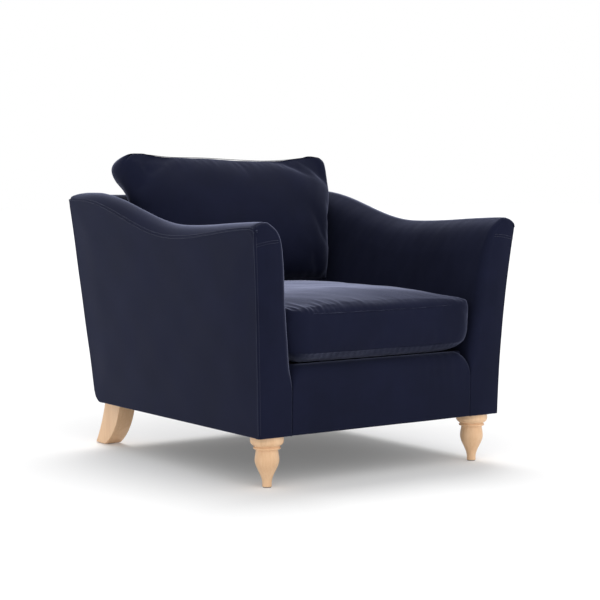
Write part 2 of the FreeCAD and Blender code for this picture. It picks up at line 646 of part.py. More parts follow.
# ---- back --------------------------------------------------------------------------------------
def back_parts(slab, outside, arms):
    """Back frame, webbing, inside back, border and outside back panel."""
    slabs = both_sides(slab)
    rail_low_z = BACK_RAIL_TOP_Z - BACK_TOP_RAIL_H
    upright_x = outer_x(BODY_DEPTH, SEAT_RAIL_TOP_Z) - ARM_SHELL - UPRIGHT_WIDTH
    upright = back_layer(BACK_PANEL_T, BACK_SHELL, SEAT_RAIL_TOP_Z, rail_low_z).cut(slab)
    upright = upright.common(block(upright_x, CUT_SIDE_X, 0, CUT_BEHIND_Y, 0, CUT_TOP_Z))
    tuck_rail = back_layer(BACK_PANEL_T, BACK_SHELL, TUCK_RAIL_Z, TUCK_RAIL_Z + TUCK_RAIL_H)
    tuck_rail = tuck_rail.common(block(-upright_x, upright_x, 0, CUT_BEHIND_Y, 0, CUT_TOP_Z))
    top_rail = cut_all(back_layer(BACK_PANEL_T, BACK_SHELL, rail_low_z, BACK_RAIL_TOP_Z), slabs)

    low, high = TUCK_RAIL_Z + TUCK_RAIL_H, rail_low_z - WEBBING_WIDTH
    straps = []
    for z in spaced(low, high, WEBBING_COUNT):
        strap = back_layer(BACK_SHELL, BACK_SHELL + WEBBING_T, z, z + WEBBING_WIDTH)
        straps.append(cut_all(strap, slabs))

    def inside_edge(z):
        return yz(inside_back_y(z), z)

    def webbing_edge(z):
        return yz(back_y(z) - BACK_SHELL - WEBBING_T, z)

    pad = closed_wire(
        inside_edge(DECK_Z), inside_edge(BACK_RAIL_TOP_Z), webbing_edge(BACK_RAIL_TOP_Z), webbing_edge(DECK_Z)
    )
    boards = both_sides(arm_slab(-CUT_SIDE_X, ARM_SHELL + ARM_BOARD_T))
    pad = cut_all(side_prism(pad, -CUT_SIDE_X, CUT_SIDE_X), boards)

    front_y0 = inside_back_y(BACK_RAIL_TOP_Z)
    rear_y0 = back_y(BORDER_SEAM_Z)
    span = rear_y0 - front_y0
    rise = BORDER_CROWN_Z - BACK_RAIL_TOP_Z
    border = closed_wire(
        yz(front_y0, BACK_RAIL_TOP_Z),
        [
            yz(front_y0 + 0.12 * span, BACK_RAIL_TOP_Z + 0.62 * rise),
            yz(front_y0 + 0.38 * span, BORDER_CROWN_Z - 0.02 * rise),
            yz(front_y0 + 0.72 * span, BORDER_CROWN_Z),
            yz(rear_y0, BORDER_SEAM_Z),
        ],
        yz(rear_y0 - BACK_PANEL_T, BORDER_SEAM_Z),
        yz(back_y(BACK_RAIL_TOP_Z) - BACK_PANEL_T, BACK_RAIL_TOP_Z),
    )
    border = cut_all(side_prism(border, -BODY_HALF_WIDTH + PANEL_T, BODY_HALF_WIDTH - PANEL_T), arms)
    panel = back_layer(0, BACK_PANEL_T, BODY_BOTTOM_Z, BORDER_SEAM_Z).common(skin_profile())
    return {
        "back_top_rail": top_rail,
        "back_tuck_rail": tuck_rail,
        "back_upright_left": upright,
        "back_upright_right": mirrored(upright),
        "back_webbing": group(straps),
        "inside_back_pad": pad,
        "back_top_border": border,
        "outside_back_panel": cut_all(panel, outside),
    }


# ---- legs --------------------------------------------------------------------------------------
def front_leg():
    """Turned leg: small foot, vase, ring, groove and bead."""

    def rz(r, z):
        return V(r, 0, z)

    ring_top_z = NECK_Z + RING_T
    bead_low_z = ring_top_z + (BEAD_Z - ring_top_z) * 0.16
    profile = closed_wire(
        rz(0, GLIDE_T),
        rz(FOOT_R, GLIDE_T),
        rz(FOOT_R, FOOT_H),
        [
            rz(FOOT_R + 0.08 * (VASE_R - FOOT_R), FOOT_H + 0.18 * (VASE_Z - FOOT_H)),
            rz(FOOT_R + 0.58 * (VASE_R - FOOT_R), FOOT_H + 0.58 * (VASE_Z - FOOT_H)),
            rz(VASE_R, VASE_Z),
            rz(NECK_R + 0.3 * (VASE_R - NECK_R), VASE_Z + 0.75 * (NECK_Z - VASE_Z)),
            rz(NECK_R, NECK_Z),
        ],
        rz(RING_R - RING_T / 2, NECK_Z),
        (rz(RING_R, NECK_Z + RING_T / 2), rz(RING_R - RING_T / 2, ring_top_z)),
        rz(GROOVE_R, bead_low_z),
        (
            rz(GROOVE_R + 0.78 * (BEAD_R - GROOVE_R), bead_low_z + 0.42 * (BEAD_Z - bead_low_z)),
            rz(BEAD_R, BEAD_Z),
        ),
        rz(BEAD_R - 0.6, BODY_BOTTOM_Z),
        rz(0, BODY_BOTTOM_Z),
    )
    leg = Part.Face(profile).revolve(V(0, 0, 0), V(0, 0, 1), 360)
    leg.translate(V(FRONT_LEG_X, FRONT_LEG_Y, 0))
    return leg.cut(leg_bolt(FRONT_LEG_X, FRONT_LEG_Y))


def bowed(foot, top, bow):
    """The arc from the foot to the top of a leg's edge, bowed forward by bow at mid height."""
    middle = yz((foot.y + top.y) / 2 - bow, (foot.z + top.z) / 2)
    return (middle, top)


def back_leg():
    """Square sabre leg that sweeps back to the floor."""
    foot_front = yz(BACK_LEG_FOOT_FRONT_Y, GLIDE_T)
    foot_rear = yz(BACK_LEG_FOOT_FRONT_Y + BACK_LEG_FOOT_DEPTH, GLIDE_T)
    top_front = yz(BACK_LEG_TOP_FRONT_Y, BODY_BOTTOM_Z)
    top_rear = yz(BACK_LEG_TOP_FRONT_Y + BACK_LEG_TOP_DEPTH, BODY_BOTTOM_Z)
    rear_arc = bowed(foot_rear, top_rear, BACK_LEG_REAR_BOW)
    outline = closed_wire(
        foot_front,
        bowed(foot_front, top_front, BACK_LEG_FRONT_BOW),
        top_rear,
        (rear_arc[0], foot_rear),
    )
    leg = side_prism(outline, BACK_LEG_OUTER_X - BACK_LEG_W, BACK_LEG_OUTER_X)
    long_edges = []
    for edge in leg.Edges:
        ends = [v.Point.z for v in edge.Vertexes]
        if max(ends) - min(ends) > (BODY_BOTTOM_Z - GLIDE_T) / 2:
            long_edges.append(edge)
    leg = leg.makeFillet(LEG_EDGE_R, long_edges)
    return cut_all(leg, [leg_bolt(x, y) for x, y in leg_bolt_places()])


def glides():
    """Nylon glides under all four feet."""
    front = rod(V(FRONT_LEG_X, FRONT_LEG_Y, 0), V(0, 0, 1), FOOT_R - GLIDE_INSET, GLIDE_T)
    rear_x = BACK_LEG_OUTER_X - BACK_LEG_W / 2
    rear_y = BACK_LEG_FOOT_FRONT_Y + BACK_LEG_FOOT_DEPTH / 2
    rear = rod(V(rear_x, rear_y, 0), V(0, 0, 1), BACK_LEG_W / 2 - 4 * GLIDE_INSET, GLIDE_T)
    return group(both_sides(front) + both_sides(rear))


# ---- cushions ----------------------------------------------------------------------------------
def tuck_arc_middle(tuck, rise):
    """Middle of the arc that leaves the flat underside smoothly and ends tuck out and rise up."""
    radius = (tuck ** 2 + rise ** 2) / (2 * rise)
    half_turn = math.asin(tuck / radius) / 2
    return radius * math.sin(half_turn), radius * (1 - math.cos(half_turn))


def seat_pillow(inset):
    """The seat cushion's shape, taken in by inset on every side."""
    low_z = DECK_Z + REST_GAP + inset
    bottom_z = SEAT_BOTTOM_SEAM_Z + inset / 2
    top_z = SEAT_TOP_SEAM_Z - inset / 2
    crown = SEAT_CROWN_Z - inset
    front, rear = SEAT_FRONT_Y + inset, SEAT_REAR_Y - inset
    bulge = SEAT_BORDER_BULGE
    middle_z = (bottom_z + top_z) / 2
    reach, low_rise = tuck_arc_middle(SEAT_TUCK, bottom_z - low_z)
    tuck_in = SEAT_TUCK - reach
    side_view = closed_wire(
        yz(front + SEAT_TUCK, low_z),
        (yz(front + tuck_in, low_z + low_rise), yz(front, bottom_z)),
        (yz(front - bulge, middle_z), yz(front, top_z)),
        (yz((front + rear) / 2, crown), yz(rear, top_z)),
        yz(rear, bottom_z),
        (yz(rear - tuck_in, low_z + low_rise), yz(rear - SEAT_TUCK, low_z)),
    )

    def side_x(z):
        return inner_x(z) - CUSHION_SIDE_GAP - inset

    def xz(x, z):
        return V(x, 0, z)

    wide, narrow = side_x(top_z), side_x(bottom_z)
    front_view = closed_wire(
        xz(-narrow + SEAT_TUCK, low_z),
        (xz(-narrow + tuck_in, low_z + low_rise), xz(-narrow, bottom_z)),
        xz(-wide, top_z),
        (xz(0, crown + SEAT_CROSS_RISE), xz(wide, top_z)),
        xz(narrow, bottom_z),
        (xz(narrow - tuck_in, low_z + low_rise), xz(narrow - SEAT_TUCK, low_z)),
    )
    clear = SEAT_PLAN_CLEARANCE
    plan = block(
        -wide - clear, wide + clear, front - bulge - clear, rear + clear, low_z - clear, crown + clear
    )
    upright = [e for e in plan.Edges if abs(e.Vertexes[0].Z - e.Vertexes[1].Z) > 1]
    plan = plan.makeFillet(SEAT_CORNER_R, upright)
    return side_prism(side_view, -CUT_SIDE_X, CUT_SIDE_X).common(
        front_prism(front_view, CUT_BEFORE_Y, CUT_BEHIND_Y)
    ).common(plan)


def seat_cushion_parts():
    """Cover, fibre wrap and foam core, with the zip along the rear border."""
    outer = seat_pillow(0)
    lining = seat_pillow(COVER_T)
    core = seat_pillow(COVER_T + WRAP_T)
    half = inner_x(SEAT_BOTTOM_SEAM_Z) - ZIP_END_MARGIN
    zip_z = (SEAT_BOTTOM_SEAM_Z + SEAT_TOP_SEAM_Z) / 2
    tape = block(-half, half, SEAT_REAR_Y, SEAT_REAR_Y + ZIP_T, zip_z - ZIP_WIDTH / 2, zip_z + ZIP_WIDTH / 2)
    slider_y = SEAT_REAR_Y + ZIP_T + SLIDER_GAP
    slider = block(
        -SLIDER_LENGTH / 2, SLIDER_LENGTH / 2,
        slider_y, slider_y + SLIDER_T,
        zip_z - SLIDER_WIDTH / 2, zip_z + SLIDER_WIDTH / 2,
    )
    return {
        "seat_cushion_cover": outer.cut(lining),
        "seat_cushion_wrap": lining.cut(core),
        "seat_cushion_core": core,
        "seat_cushion_zip": tape,
        "seat_zip_slider": slider,
    }


def seat_top_z(y):
    """Height of the seat cushion's top at y, on its middle line."""
    half = (SEAT_REAR_Y - SEAT_FRONT_Y) / 2
    rise = SEAT_CROWN_Z - SEAT_TOP_SEAM_Z
    radius = (half ** 2 + rise ** 2) / (2 * rise)
    offset = y - (SEAT_FRONT_Y + SEAT_REAR_Y) / 2
    return SEAT_CROWN_Z - radius + math.sqrt(radius ** 2 - offset ** 2)


def back_rest_edge(z, inset):
    """The back cushion's rear face, parallel to the inside back."""
    return yz(inside_back_y(z) - REST_GAP - inset, z)


def foot_corner(inset):
    """Where the back cushion's underside ends and its rear foot chamfer begins."""
    rear = back_rest_edge(BACK_FOOT_Z, inset)
    return yz(rear.y - BACK_FOOT_CHAMFER, BACK_FOOT_Z + inset)


def back_pillow(inset):
    """The back cushion's shape, taken in by inset: a raked pillow that is full behind its seam."""
    belly = yz(BACK_BELLY_Y + inset, BACK_BELLY_Z)
    seam_top = yz(BACK_SEAM_TOP_Y + inset, BACK_SEAM_TOP_Z - inset)
    front_mid = yz(
        (belly.y + seam_top.y) / 2 - 0.18 * (seam_top.y - belly.y), (belly.z + seam_top.z) / 2
    )
    foot_z = seat_top_z(BACK_BELLY_Y + 40) + REST_GAP + inset
    foot_front = yz(BACK_BELLY_Y + 32 + inset, foot_z + 2)
    foot_mid = yz((foot_front.y + belly.y) / 2 - 14, (foot_front.z + belly.z) / 2 - 4)
    rear_top = back_rest_edge(BACK_REAR_TOP_Z - inset, inset)
    top_mid = yz((seam_top.y + rear_top.y) / 2, (seam_top.z + rear_top.z) / 2 + BACK_TOP_RISE)
    corner = foot_corner(inset)
    side_view = closed_wire(
        belly,
        (front_mid, seam_top),
        (top_mid, rear_top),
        back_rest_edge(BACK_FOOT_Z + BACK_FOOT_CHAMFER + inset, inset),
        corner,
        foot_front,
        (foot_mid, belly),
    )

    def xz(x, z):
        return V(x, 0, z)

    top_x, foot_x = BACK_HALF_TOP - inset, BACK_HALF_FOOT - inset
    low_z, high_z = BACK_FOOT_Z - 10, BACK_SEAM_TOP_Z + 20
    front_view = closed_wire(xz(-foot_x, low_z), xz(-top_x, high_z), xz(top_x, high_z), xz(foot_x, low_z))

    rake = V(0, BACK_SEAM_TOP_Y - BACK_SEAM_FOOT_Y, BACK_SEAM_TOP_Z - BACK_FOOT_Z)
    start_z = BACK_FOOT_Z - 40
    down = 40 * rake.y / rake.z
    seam_y = BACK_SEAM_FOOT_Y - down + inset
    plan = closed_wire(
        V(-BACK_HALF_TOP, seam_y, start_z),
        (V(0, BACK_BELLY_Y - down - 24 + inset, start_z), V(BACK_HALF_TOP, seam_y, start_z)),
        V(BACK_HALF_TOP, seam_y + 2 * BACK_SIDE_THICKNESS, start_z),
        (
            V(0, seam_y + 4 * BACK_SIDE_THICKNESS, start_z),
            V(-BACK_HALF_TOP, seam_y + 2 * BACK_SIDE_THICKNESS, start_z),
        ),
    )
    column = Part.Face(plan).extrude(rake * 1.4)
    return side_prism(side_view, -CUT_SIDE_X, CUT_SIDE_X).common(
        front_prism(front_view, CUT_BEFORE_Y, CUT_BEHIND_Y)
    ).common(column)


def back_cushion_parts(seat_shape):
    """Cover and fill, with the zip on the chamfer at the rear foot."""
    clear = seat_pillow(-REST_GAP)
    outer = back_pillow(0).cut(clear).cut(seat_shape)
    fill = back_pillow(COVER_T).cut(seat_pillow(-REST_GAP - COVER_T))
    corner = foot_corner(0)
    top = back_rest_edge(BACK_FOOT_Z + BACK_FOOT_CHAMFER, 0)
    along = (top - corner).normalize()
    out = V(0, along.z, -along.y)
    middle = (corner + top) * 0.5
    half = BACK_HALF_FOOT - ZIP_END_MARGIN

    def strip(width, near, far, half_length):
        a = middle - along * (width / 2) + out * near
        b = middle + along * (width / 2) + out * near
        c, d = b + out * (far - near), a + out * (far - near)
        return side_prism(closed_wire(a, b, c, d), -half_length, half_length)

    near = ZIP_T + SLIDER_GAP
    return {
        "back_cushion_cover": outer.cut(fill),
        "back_cushion_fill": fill,
        "back_cushion_zip": strip(ZIP_WIDTH, 0, ZIP_T, half),
        "back_zip_slider": strip(SLIDER_WIDTH, near, near + SLIDER_T, SLIDER_LENGTH / 2),
    }


# ---- assembly ----------------------------------------------------------------------------------
def all_parts():
    envelope = arm_block()
    slab = arm_slab(-CUT_SIDE_X, ARM_SHELL)
    outside = both_sides(arm_slab(-CUT_SIDE_X, PANEL_T))
    parts = {}
    for name, shape in arm_parts(envelope).items():
        parts[name + "_left"] = shape
        parts[name + "_right"] = mirrored(shape)
    parts.update(seat_frame_parts(slab))
    parts.update(deck_parts())
    parts["front_rail_cover"] = front_rail_cover()
    parts["dust_cover"] = dust_cover(outside)
    parts.update(back_parts(slab, outside, both_sides(envelope)))
    for name, shape in (("front_leg", front_leg()), ("back_leg", back_leg())):
        parts[name + "_left"] = shape
        parts[name + "_right"] = mirrored(shape)
    places = leg_bolt_places()
    parts["foot_glides"] = glides()
    parts["leg_bolts"] = group([b for x, y in places for b in both_sides(leg_bolt(x, y))])
    nuts = [t_nut_blank(x, y).cut(leg_bolt(x, y)) for x, y in places]
    parts["leg_t_nuts"] = group([n for nut in nuts for n in both_sides(nut)])
    parts["arm_bolts"] = group([b for y in ARM_BOLT_Y for b in both_sides(arm_bolt(y))])
    parts["arm_bolt_nuts"] = group([n for y in ARM_BOLT_Y for n in both_sides(arm_bolt_nut(y))])
    parts.update(seat_cushion_parts())
    parts.update(back_cushion_parts(seat_pillow(0)))
    return parts


def main():
    os.makedirs("parts", exist_ok=True)
    parts = all_parts()
    box = Part.makeCompound(list(parts.values())).optimalBoundingBox(False, False)
    to_origin = V(-(box.XMin + box.XMax) / 2, -(box.YMin + box.YMax) / 2, -box.ZMin)
    for name, shape in parts.items():
        placed = shape.copy()
        placed.translate(to_origin)
        placed.exportStep("parts/" + name + ".step")
    print("origin shift", to_origin, "size", box.XLength, box.YLength, box.ZLength)


main()
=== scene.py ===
"""Upholstered armchair in deep blue velvet: its looks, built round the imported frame.

Lengths are metres in the frame's axes: the sitter faces -Y, the sitter's left is +X and the floor is z = 0.
While a piece is drawn, y is measured from the front hem; the bench moves it into the frame.
"""

import json
import logging
import math
from dataclasses import dataclass, replace
from enum import Enum
from typing import Callable, Optional, Sequence

import bpy
import numpy as np
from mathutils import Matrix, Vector

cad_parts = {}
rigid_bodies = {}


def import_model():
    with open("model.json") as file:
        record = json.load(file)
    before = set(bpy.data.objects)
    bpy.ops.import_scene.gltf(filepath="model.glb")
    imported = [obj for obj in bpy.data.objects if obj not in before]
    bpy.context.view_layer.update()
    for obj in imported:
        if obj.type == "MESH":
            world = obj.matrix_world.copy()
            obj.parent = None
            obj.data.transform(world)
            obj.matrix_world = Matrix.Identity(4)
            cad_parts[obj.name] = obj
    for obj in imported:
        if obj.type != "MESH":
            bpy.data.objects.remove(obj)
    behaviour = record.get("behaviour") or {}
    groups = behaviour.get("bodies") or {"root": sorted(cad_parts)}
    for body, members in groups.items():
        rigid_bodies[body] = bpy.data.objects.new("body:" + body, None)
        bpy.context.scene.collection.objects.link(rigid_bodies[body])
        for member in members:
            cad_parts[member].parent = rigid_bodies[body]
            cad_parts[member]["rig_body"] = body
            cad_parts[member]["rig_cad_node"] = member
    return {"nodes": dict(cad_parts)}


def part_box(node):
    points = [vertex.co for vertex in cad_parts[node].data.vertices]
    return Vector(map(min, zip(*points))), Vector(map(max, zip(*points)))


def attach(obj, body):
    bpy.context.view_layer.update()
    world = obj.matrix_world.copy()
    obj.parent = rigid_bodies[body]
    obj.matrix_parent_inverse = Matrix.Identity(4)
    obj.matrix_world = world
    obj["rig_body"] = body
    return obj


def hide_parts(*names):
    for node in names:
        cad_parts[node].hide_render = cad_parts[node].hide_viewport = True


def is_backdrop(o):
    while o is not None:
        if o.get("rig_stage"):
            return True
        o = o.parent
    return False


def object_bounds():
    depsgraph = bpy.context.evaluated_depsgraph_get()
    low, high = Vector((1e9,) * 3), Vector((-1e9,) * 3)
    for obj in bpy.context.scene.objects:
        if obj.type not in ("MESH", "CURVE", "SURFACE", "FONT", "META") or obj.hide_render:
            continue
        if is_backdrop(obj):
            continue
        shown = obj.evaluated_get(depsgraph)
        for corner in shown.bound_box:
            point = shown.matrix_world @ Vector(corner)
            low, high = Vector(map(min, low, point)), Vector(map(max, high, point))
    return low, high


LOG = logging.getLogger("armchair")
Array = np.ndarray
Object = bpy.types.Object
Material = bpy.types.Material
Knots = tuple[tuple[float, float], ...]
Knots3 = tuple[tuple[float, float, float], ...]
ROUND = 2.0 * math.pi


class Side(Enum):
    """The sitter's left and right, with the sign of x on each."""

    LEFT = 1
    RIGHT = -1

    @property
    def label(self) -> str:
        """The side's name in lower case."""
        return self.name.lower()


# ---- curves and number helpers --------------------------------------------------------------------
def xyz(x: Array, y: Array, z: Array) -> Array:
    """Points from coordinates that are spread to one shape."""
    return np.stack(np.broadcast_arrays(x, y, z), axis=-1)


def unit(vectors: Array) -> Array:
    """Vectors along the last axis, brought to length one."""
    return vectors / np.maximum(np.linalg.norm(vectors, axis=-1, keepdims=True), 1e-12)


def bell(distance: Array, width: Array) -> Array:
    """Height of a rounded ridge, 1 in its middle."""
    return np.exp(-((distance / width) ** 2))


def smooth_step(low: float, high: float, value: Array) -> Array:
    """Rise from 0 at low to 1 at high with flat ends."""
    share = np.clip((np.asarray(value, float) - low) / (high - low), 0.0, 1.0)
    return share * share * (3.0 - 2.0 * share)


def rolled(distance: Array, radius: float) -> Array:
    """Depth that an edge rolled to a radius has lost at a distance inside its rim."""
    inside = np.clip(radius - np.asarray(distance, float), 0.0, radius)
    return radius - np.sqrt(np.maximum(radius * radius - inside * inside, 0.0))


def graded(near: Sequence[float], middle: int, far: Sequence[float], length: Array) -> Array:
    """Stations along a length: fixed distances at both ends and even ones between.

    Args:
        near: Distances from the start, rising from 0.
        middle: How many even stations lie between the two ends' last ones.
        far: Distances from the end, rising from 0.
        length: Total length at each line, one value a line.

    Returns:
        Stations, one row a line.
    """
    length = np.atleast_1d(np.asarray(length, float))[:, None]
    start = np.broadcast_to(np.asarray(near, float), (length.shape[0], len(near)))
    end = length - np.asarray(far, float)[::-1]
    share = np.linspace(0.0, 1.0, middle + 2)[1:-1]
    between = start[:, -1:] + (end[:, :1] - start[:, -1:]) * share
    return np.concatenate([start, between, end], axis=1)


def ripple(points: Array, pitch: float, seed: int) -> Array:
    """Soft uneven waves in space, the same on each run.

    Args:
        points: Points, the last axis being x, y and z.
        pitch: Typical distance between crests.
        seed: Which waves to take.

    Returns:
        Heights of about -1 to 1, one a point.
    """
    draw = np.random.default_rng(seed)
    total = np.zeros(points.shape[:-1])
    for octave in range(7):
        direction = draw.normal(size=3)
        direction *= ROUND / (pitch * (0.7 + 0.22 * octave)) / np.linalg.norm(direction)
        total += np.sin(points @ direction + draw.uniform(0.0, ROUND))
    return total / 3.2


def hermite(share: Array, ends: Sequence[Array], tangents: Sequence[Array]) -> Array:
    """Cubic curve between two ends.

    Args:
        share: Share of the way.
        ends: Values at both ends.
        tangents: Slopes there, times the span.

    Returns:
        The values.
    """
    square, cube = share**2, share**3
    return (
        (2 * cube - 3 * square + 1) * ends[0]
        + (cube - 2 * square + share) * tangents[0]
        + (3 * square - 2 * cube) * ends[1]
        + (cube - square) * tangents[1]
    )


def curve(knots: Knots, place: Array) -> Array:
    """Smooth curve through (place, value) knots that never overshoots between them.

    Args:
        knots: Knots, rising in place.
        place: Places to read.

    Returns:
        The values there.
    """
    x, y = np.array(knots, float).T
    step = np.diff(x)
    slope = np.diff(y) / step
    tangent = np.concatenate([slope[:1], (slope[:-1] + slope[1:]) / 2, slope[-1:]])
    tangent[1:-1][slope[:-1] * slope[1:] <= 0] = 0.0
    place = np.clip(np.asarray(place, float), x[0], x[-1])
    k = np.clip(np.searchsorted(x, place, side="right") - 1, 0, len(x) - 2)
    share = (place - x[k]) / step[k]
    return hermite(share, (y[k], y[k + 1]), (step[k] * tangent[k], step[k] * tangent[k + 1]))


def surface_normals(points: Array) -> Array:
    """Unit normals of a grid of points."""
    return unit(np.cross(np.gradient(points, axis=1), np.gradient(points, axis=0)))


def path_length(path: Array) -> Array:
    """Length of a polyline from its start to each of its points."""
    return np.concatenate([[0.0], np.cumsum(np.linalg.norm(np.diff(path, axis=0), axis=1))])


def segment_gap(points: Array, start: Array, end: Array) -> tuple[Array, Array]:
    """Nearest place on a straight segment.

    Args:
        points: Points, one a row.
        start: Where the segment starts.
        end: Where it ends.

    Returns:
        Share of the segment nearest to each point and the distance to it.
    """
    run = end - start
    share = np.clip((points - start) @ run / max(run @ run, 1e-12), 0.0, 1.0)
    return share, np.linalg.norm(points - start - share[:, None] * run, axis=1)


def path_distance(points: Array, path: Array) -> Array:
    """Distance from each point to a polyline.

    Args:
        points: Points, any shape with a last axis of three.
        path: Polyline points in order.

    Returns:
        Distances in the points' shape.
    """
    flat = points.reshape(-1, 3)
    best = np.full(len(flat), np.inf)
    for start, end in zip(path[:-1], path[1:]):
        best = np.minimum(best, segment_gap(flat, start, end)[1])
    return best.reshape(points.shape[:-1])


def grid_rim(u: Array, v: Array) -> Array:
    """Places (u, v) round a grid's rim, from its first corner to the place next to it."""
    sides = ((u[:-1], v[0]), (u[-1], v[:-1]), (u[:0:-1], v[-1]), (u[0], v[:0:-1]))
    return np.concatenate([np.stack(np.broadcast_arrays(*side), axis=1) for side in sides])


def rounded_square(turn: Array, across: float, up: float) -> tuple[Array, Array]:
    """A circle's two coordinates, squared off by a power across and one upwards."""
    x, y = np.cos(turn), np.sin(turn)
    return np.sign(x) * np.abs(x) ** across, np.sign(y) * np.abs(y) ** up


def mesh_field(items: Sequence, field: str) -> Array:
    """Read one field of every item of a mesh.

    Args:
        items: The mesh's points, normals or faces.
        field: A field of three numbers.

    Returns:
        One row an item.
    """
    flat = np.empty(len(items) * 3)
    items.foreach_get(field, flat)
    return flat.reshape(-1, 3)


def spline_through(knots: Sequence[Array], place: Array) -> Array:
    """Smooth curve through knots that may differ at every place.

    Args:
        knots: Knots in order, with coordinates along the last axis; the first and last only steer.
        place: Place along the curve, 0 at the second knot and one more at each further knot.

    Returns:
        Points on the curve.
    """
    stack = np.stack(knots)
    steps = np.maximum(np.linalg.norm(np.diff(stack, axis=0), axis=-1, keepdims=True), 1e-9)
    slopes = np.diff(stack, axis=0) / steps
    tangents = (slopes[:-1] * steps[1:] + slopes[1:] * steps[:-1]) / (steps[:-1] + steps[1:])
    segments = len(knots) - 3
    whole = np.clip(np.floor(place).astype(int), 0, segments - 1)
    share = (np.asarray(place, float) - whole)[..., None]
    result = np.zeros(np.broadcast_shapes(stack.shape[1:], share.shape[:-1] + (stack.shape[-1],)))
    for segment in range(segments):
        span = steps[segment + 1]
        ends = stack[segment + 1], stack[segment + 2]
        bend = hermite(share, ends, (span * tangents[segment], span * tangents[segment + 1]))
        result = np.where((whole == segment)[..., None], bend, result)
    return result


# ---- the body's drawing ----------------------------------------------------------------------------
@dataclass(frozen=True)
class BodyLines:
    """Curves of the chair's body, in metres, with y measured from the front hem."""

    hem_z: float = 0.137
    half_width: float = 0.410
    depth: float = 0.885
    flare_radius: float = 5.5
    flare_drop: float = 0.070
    lean_radius: float = 6.0
    lean_drop: float = 0.057
    back_rake: float = math.radians(7.6)
    inside_back_y0: float = 0.760
    inside_back_rake: float = math.radians(13.77)
    deck_z: float = 0.320
    rear_hem_radius: float = 0.028
    rear_leg_y: float = 0.955
    arm_front_y: float = -0.045
    crown_heights: tuple[float, float, float] = (0.6962, 0.6795, 0.764)
    seam_heights: tuple[float, float, float] = (0.6828, 0.6478, 0.744)
    crown_turns: tuple[float, float] = (0.366, 0.868)
    seam_turns: tuple[float, float] = (0.385, 0.903)
    inner_foot_x: float = 0.306
    inner_kink_z: float = 0.298
    inner_slope: float = 0.112
    crown_width: float = 0.0435
    corner_drop: float = 0.0110
    corner_reach: float = 0.040
    round_drop: float = 0.092
    round_width: float = 0.057
    blend_start_y: float = -0.085
    blend_end_y: float = 1.042
    border_setback: float = 0.085

    def flare(self, z: Array) -> Array:
        """How far the arm's outside lies beyond the hem at height z, at the front."""
        rise = z - self.hem_z
        return ((rise + self.flare_drop) ** 2 - self.flare_drop**2) / (2 * self.flare_radius)

    def outer_x(self, y: Array, z: Array) -> Array:
        """Outside face of the arm: curved in front, straight at the back.

        Args:
            y: Distance from the front hem.
            z: Height.

        Returns:
            x of the face.
        """
        top = self.seam_heights[2]
        straight = self.flare(top) * (z - self.hem_z) / (top - self.hem_z)
        share = (y - self.blend_start_y) / (self.blend_end_y - self.blend_start_y)
        return self.half_width + (1 - share) * self.flare(z) + share * straight

    def inner_x(self, z: Array) -> Array:
        """Inside face of the arm."""
        return self.inner_foot_x + self.inner_slope * np.maximum(0.0, z - self.inner_kink_z)

    def front_y(self, z: Array) -> Array:
        """Leaning front face."""
        rise = z - self.hem_z
        return -((rise + self.lean_drop) ** 2 - self.lean_drop**2) / (2 * self.lean_radius)

    def back_y(self, z: Array) -> Array:
        """Raked outside back."""
        return self.depth + math.tan(self.back_rake) * (z - self.hem_z)

    def inside_back_y(self, z: Array) -> Array:
        """Inside back, which the back cushion leans on."""
        return self.inside_back_y0 + math.tan(self.inside_back_rake) * (z - self.deck_z)

    def swoop(self, y: Array, heights: tuple[float, float, float], turns: tuple[float, float]) -> Array:
        """Height of an arm line: half a wave down to the dip and another up to the back.

        Args:
            y: Distance from the front hem.
            heights: Heights at the front, the dip and the back.
            turns: Where the dip lies and where the rise ends.

        Returns:
            The line's height.
        """
        front, dip, top = heights
        before = np.clip((turns[0] - y) / (turns[0] - self.arm_front_y), 0.0, 1.0)
        after = np.clip((y - turns[0]) / (turns[1] - turns[0]), 0.0, 1.0)
        lift = (front - dip) * (1 - np.cos(math.pi * before)) + (top - dip) * (1 - np.cos(math.pi * after))
        return dip + lift / 2

    def crown_z(self, y: Array) -> Array:
        """Top of the arm's roll."""
        return self.swoop(y, self.crown_heights, self.crown_turns)

    def seam_z(self, y: Array) -> Array:
        """Seam where the outside panel stops."""
        corner = 1.0 - smooth_step(0.0, self.corner_reach, y - self.arm_front_y)
        return self.swoop(y, self.seam_heights, self.seam_turns) - self.corner_drop * corner

    def rear_limit_z(self, y: Array) -> Array:
        """Height that nothing on top passes where the body rounds over to its back.

        Args:
            y: Distance from the front hem.

        Returns:
            The height.
        """
        top = self.seam_heights[2]
        rise = self.crown_heights[2] - top
        start = self.back_y(top) - self.border_setback
        share = np.clip((y - start) / self.border_setback, 0.0, 1.0)
        return top + rise * np.sqrt(np.maximum(0.0, 1.0 - share**1.7))


BODY = BodyLines()


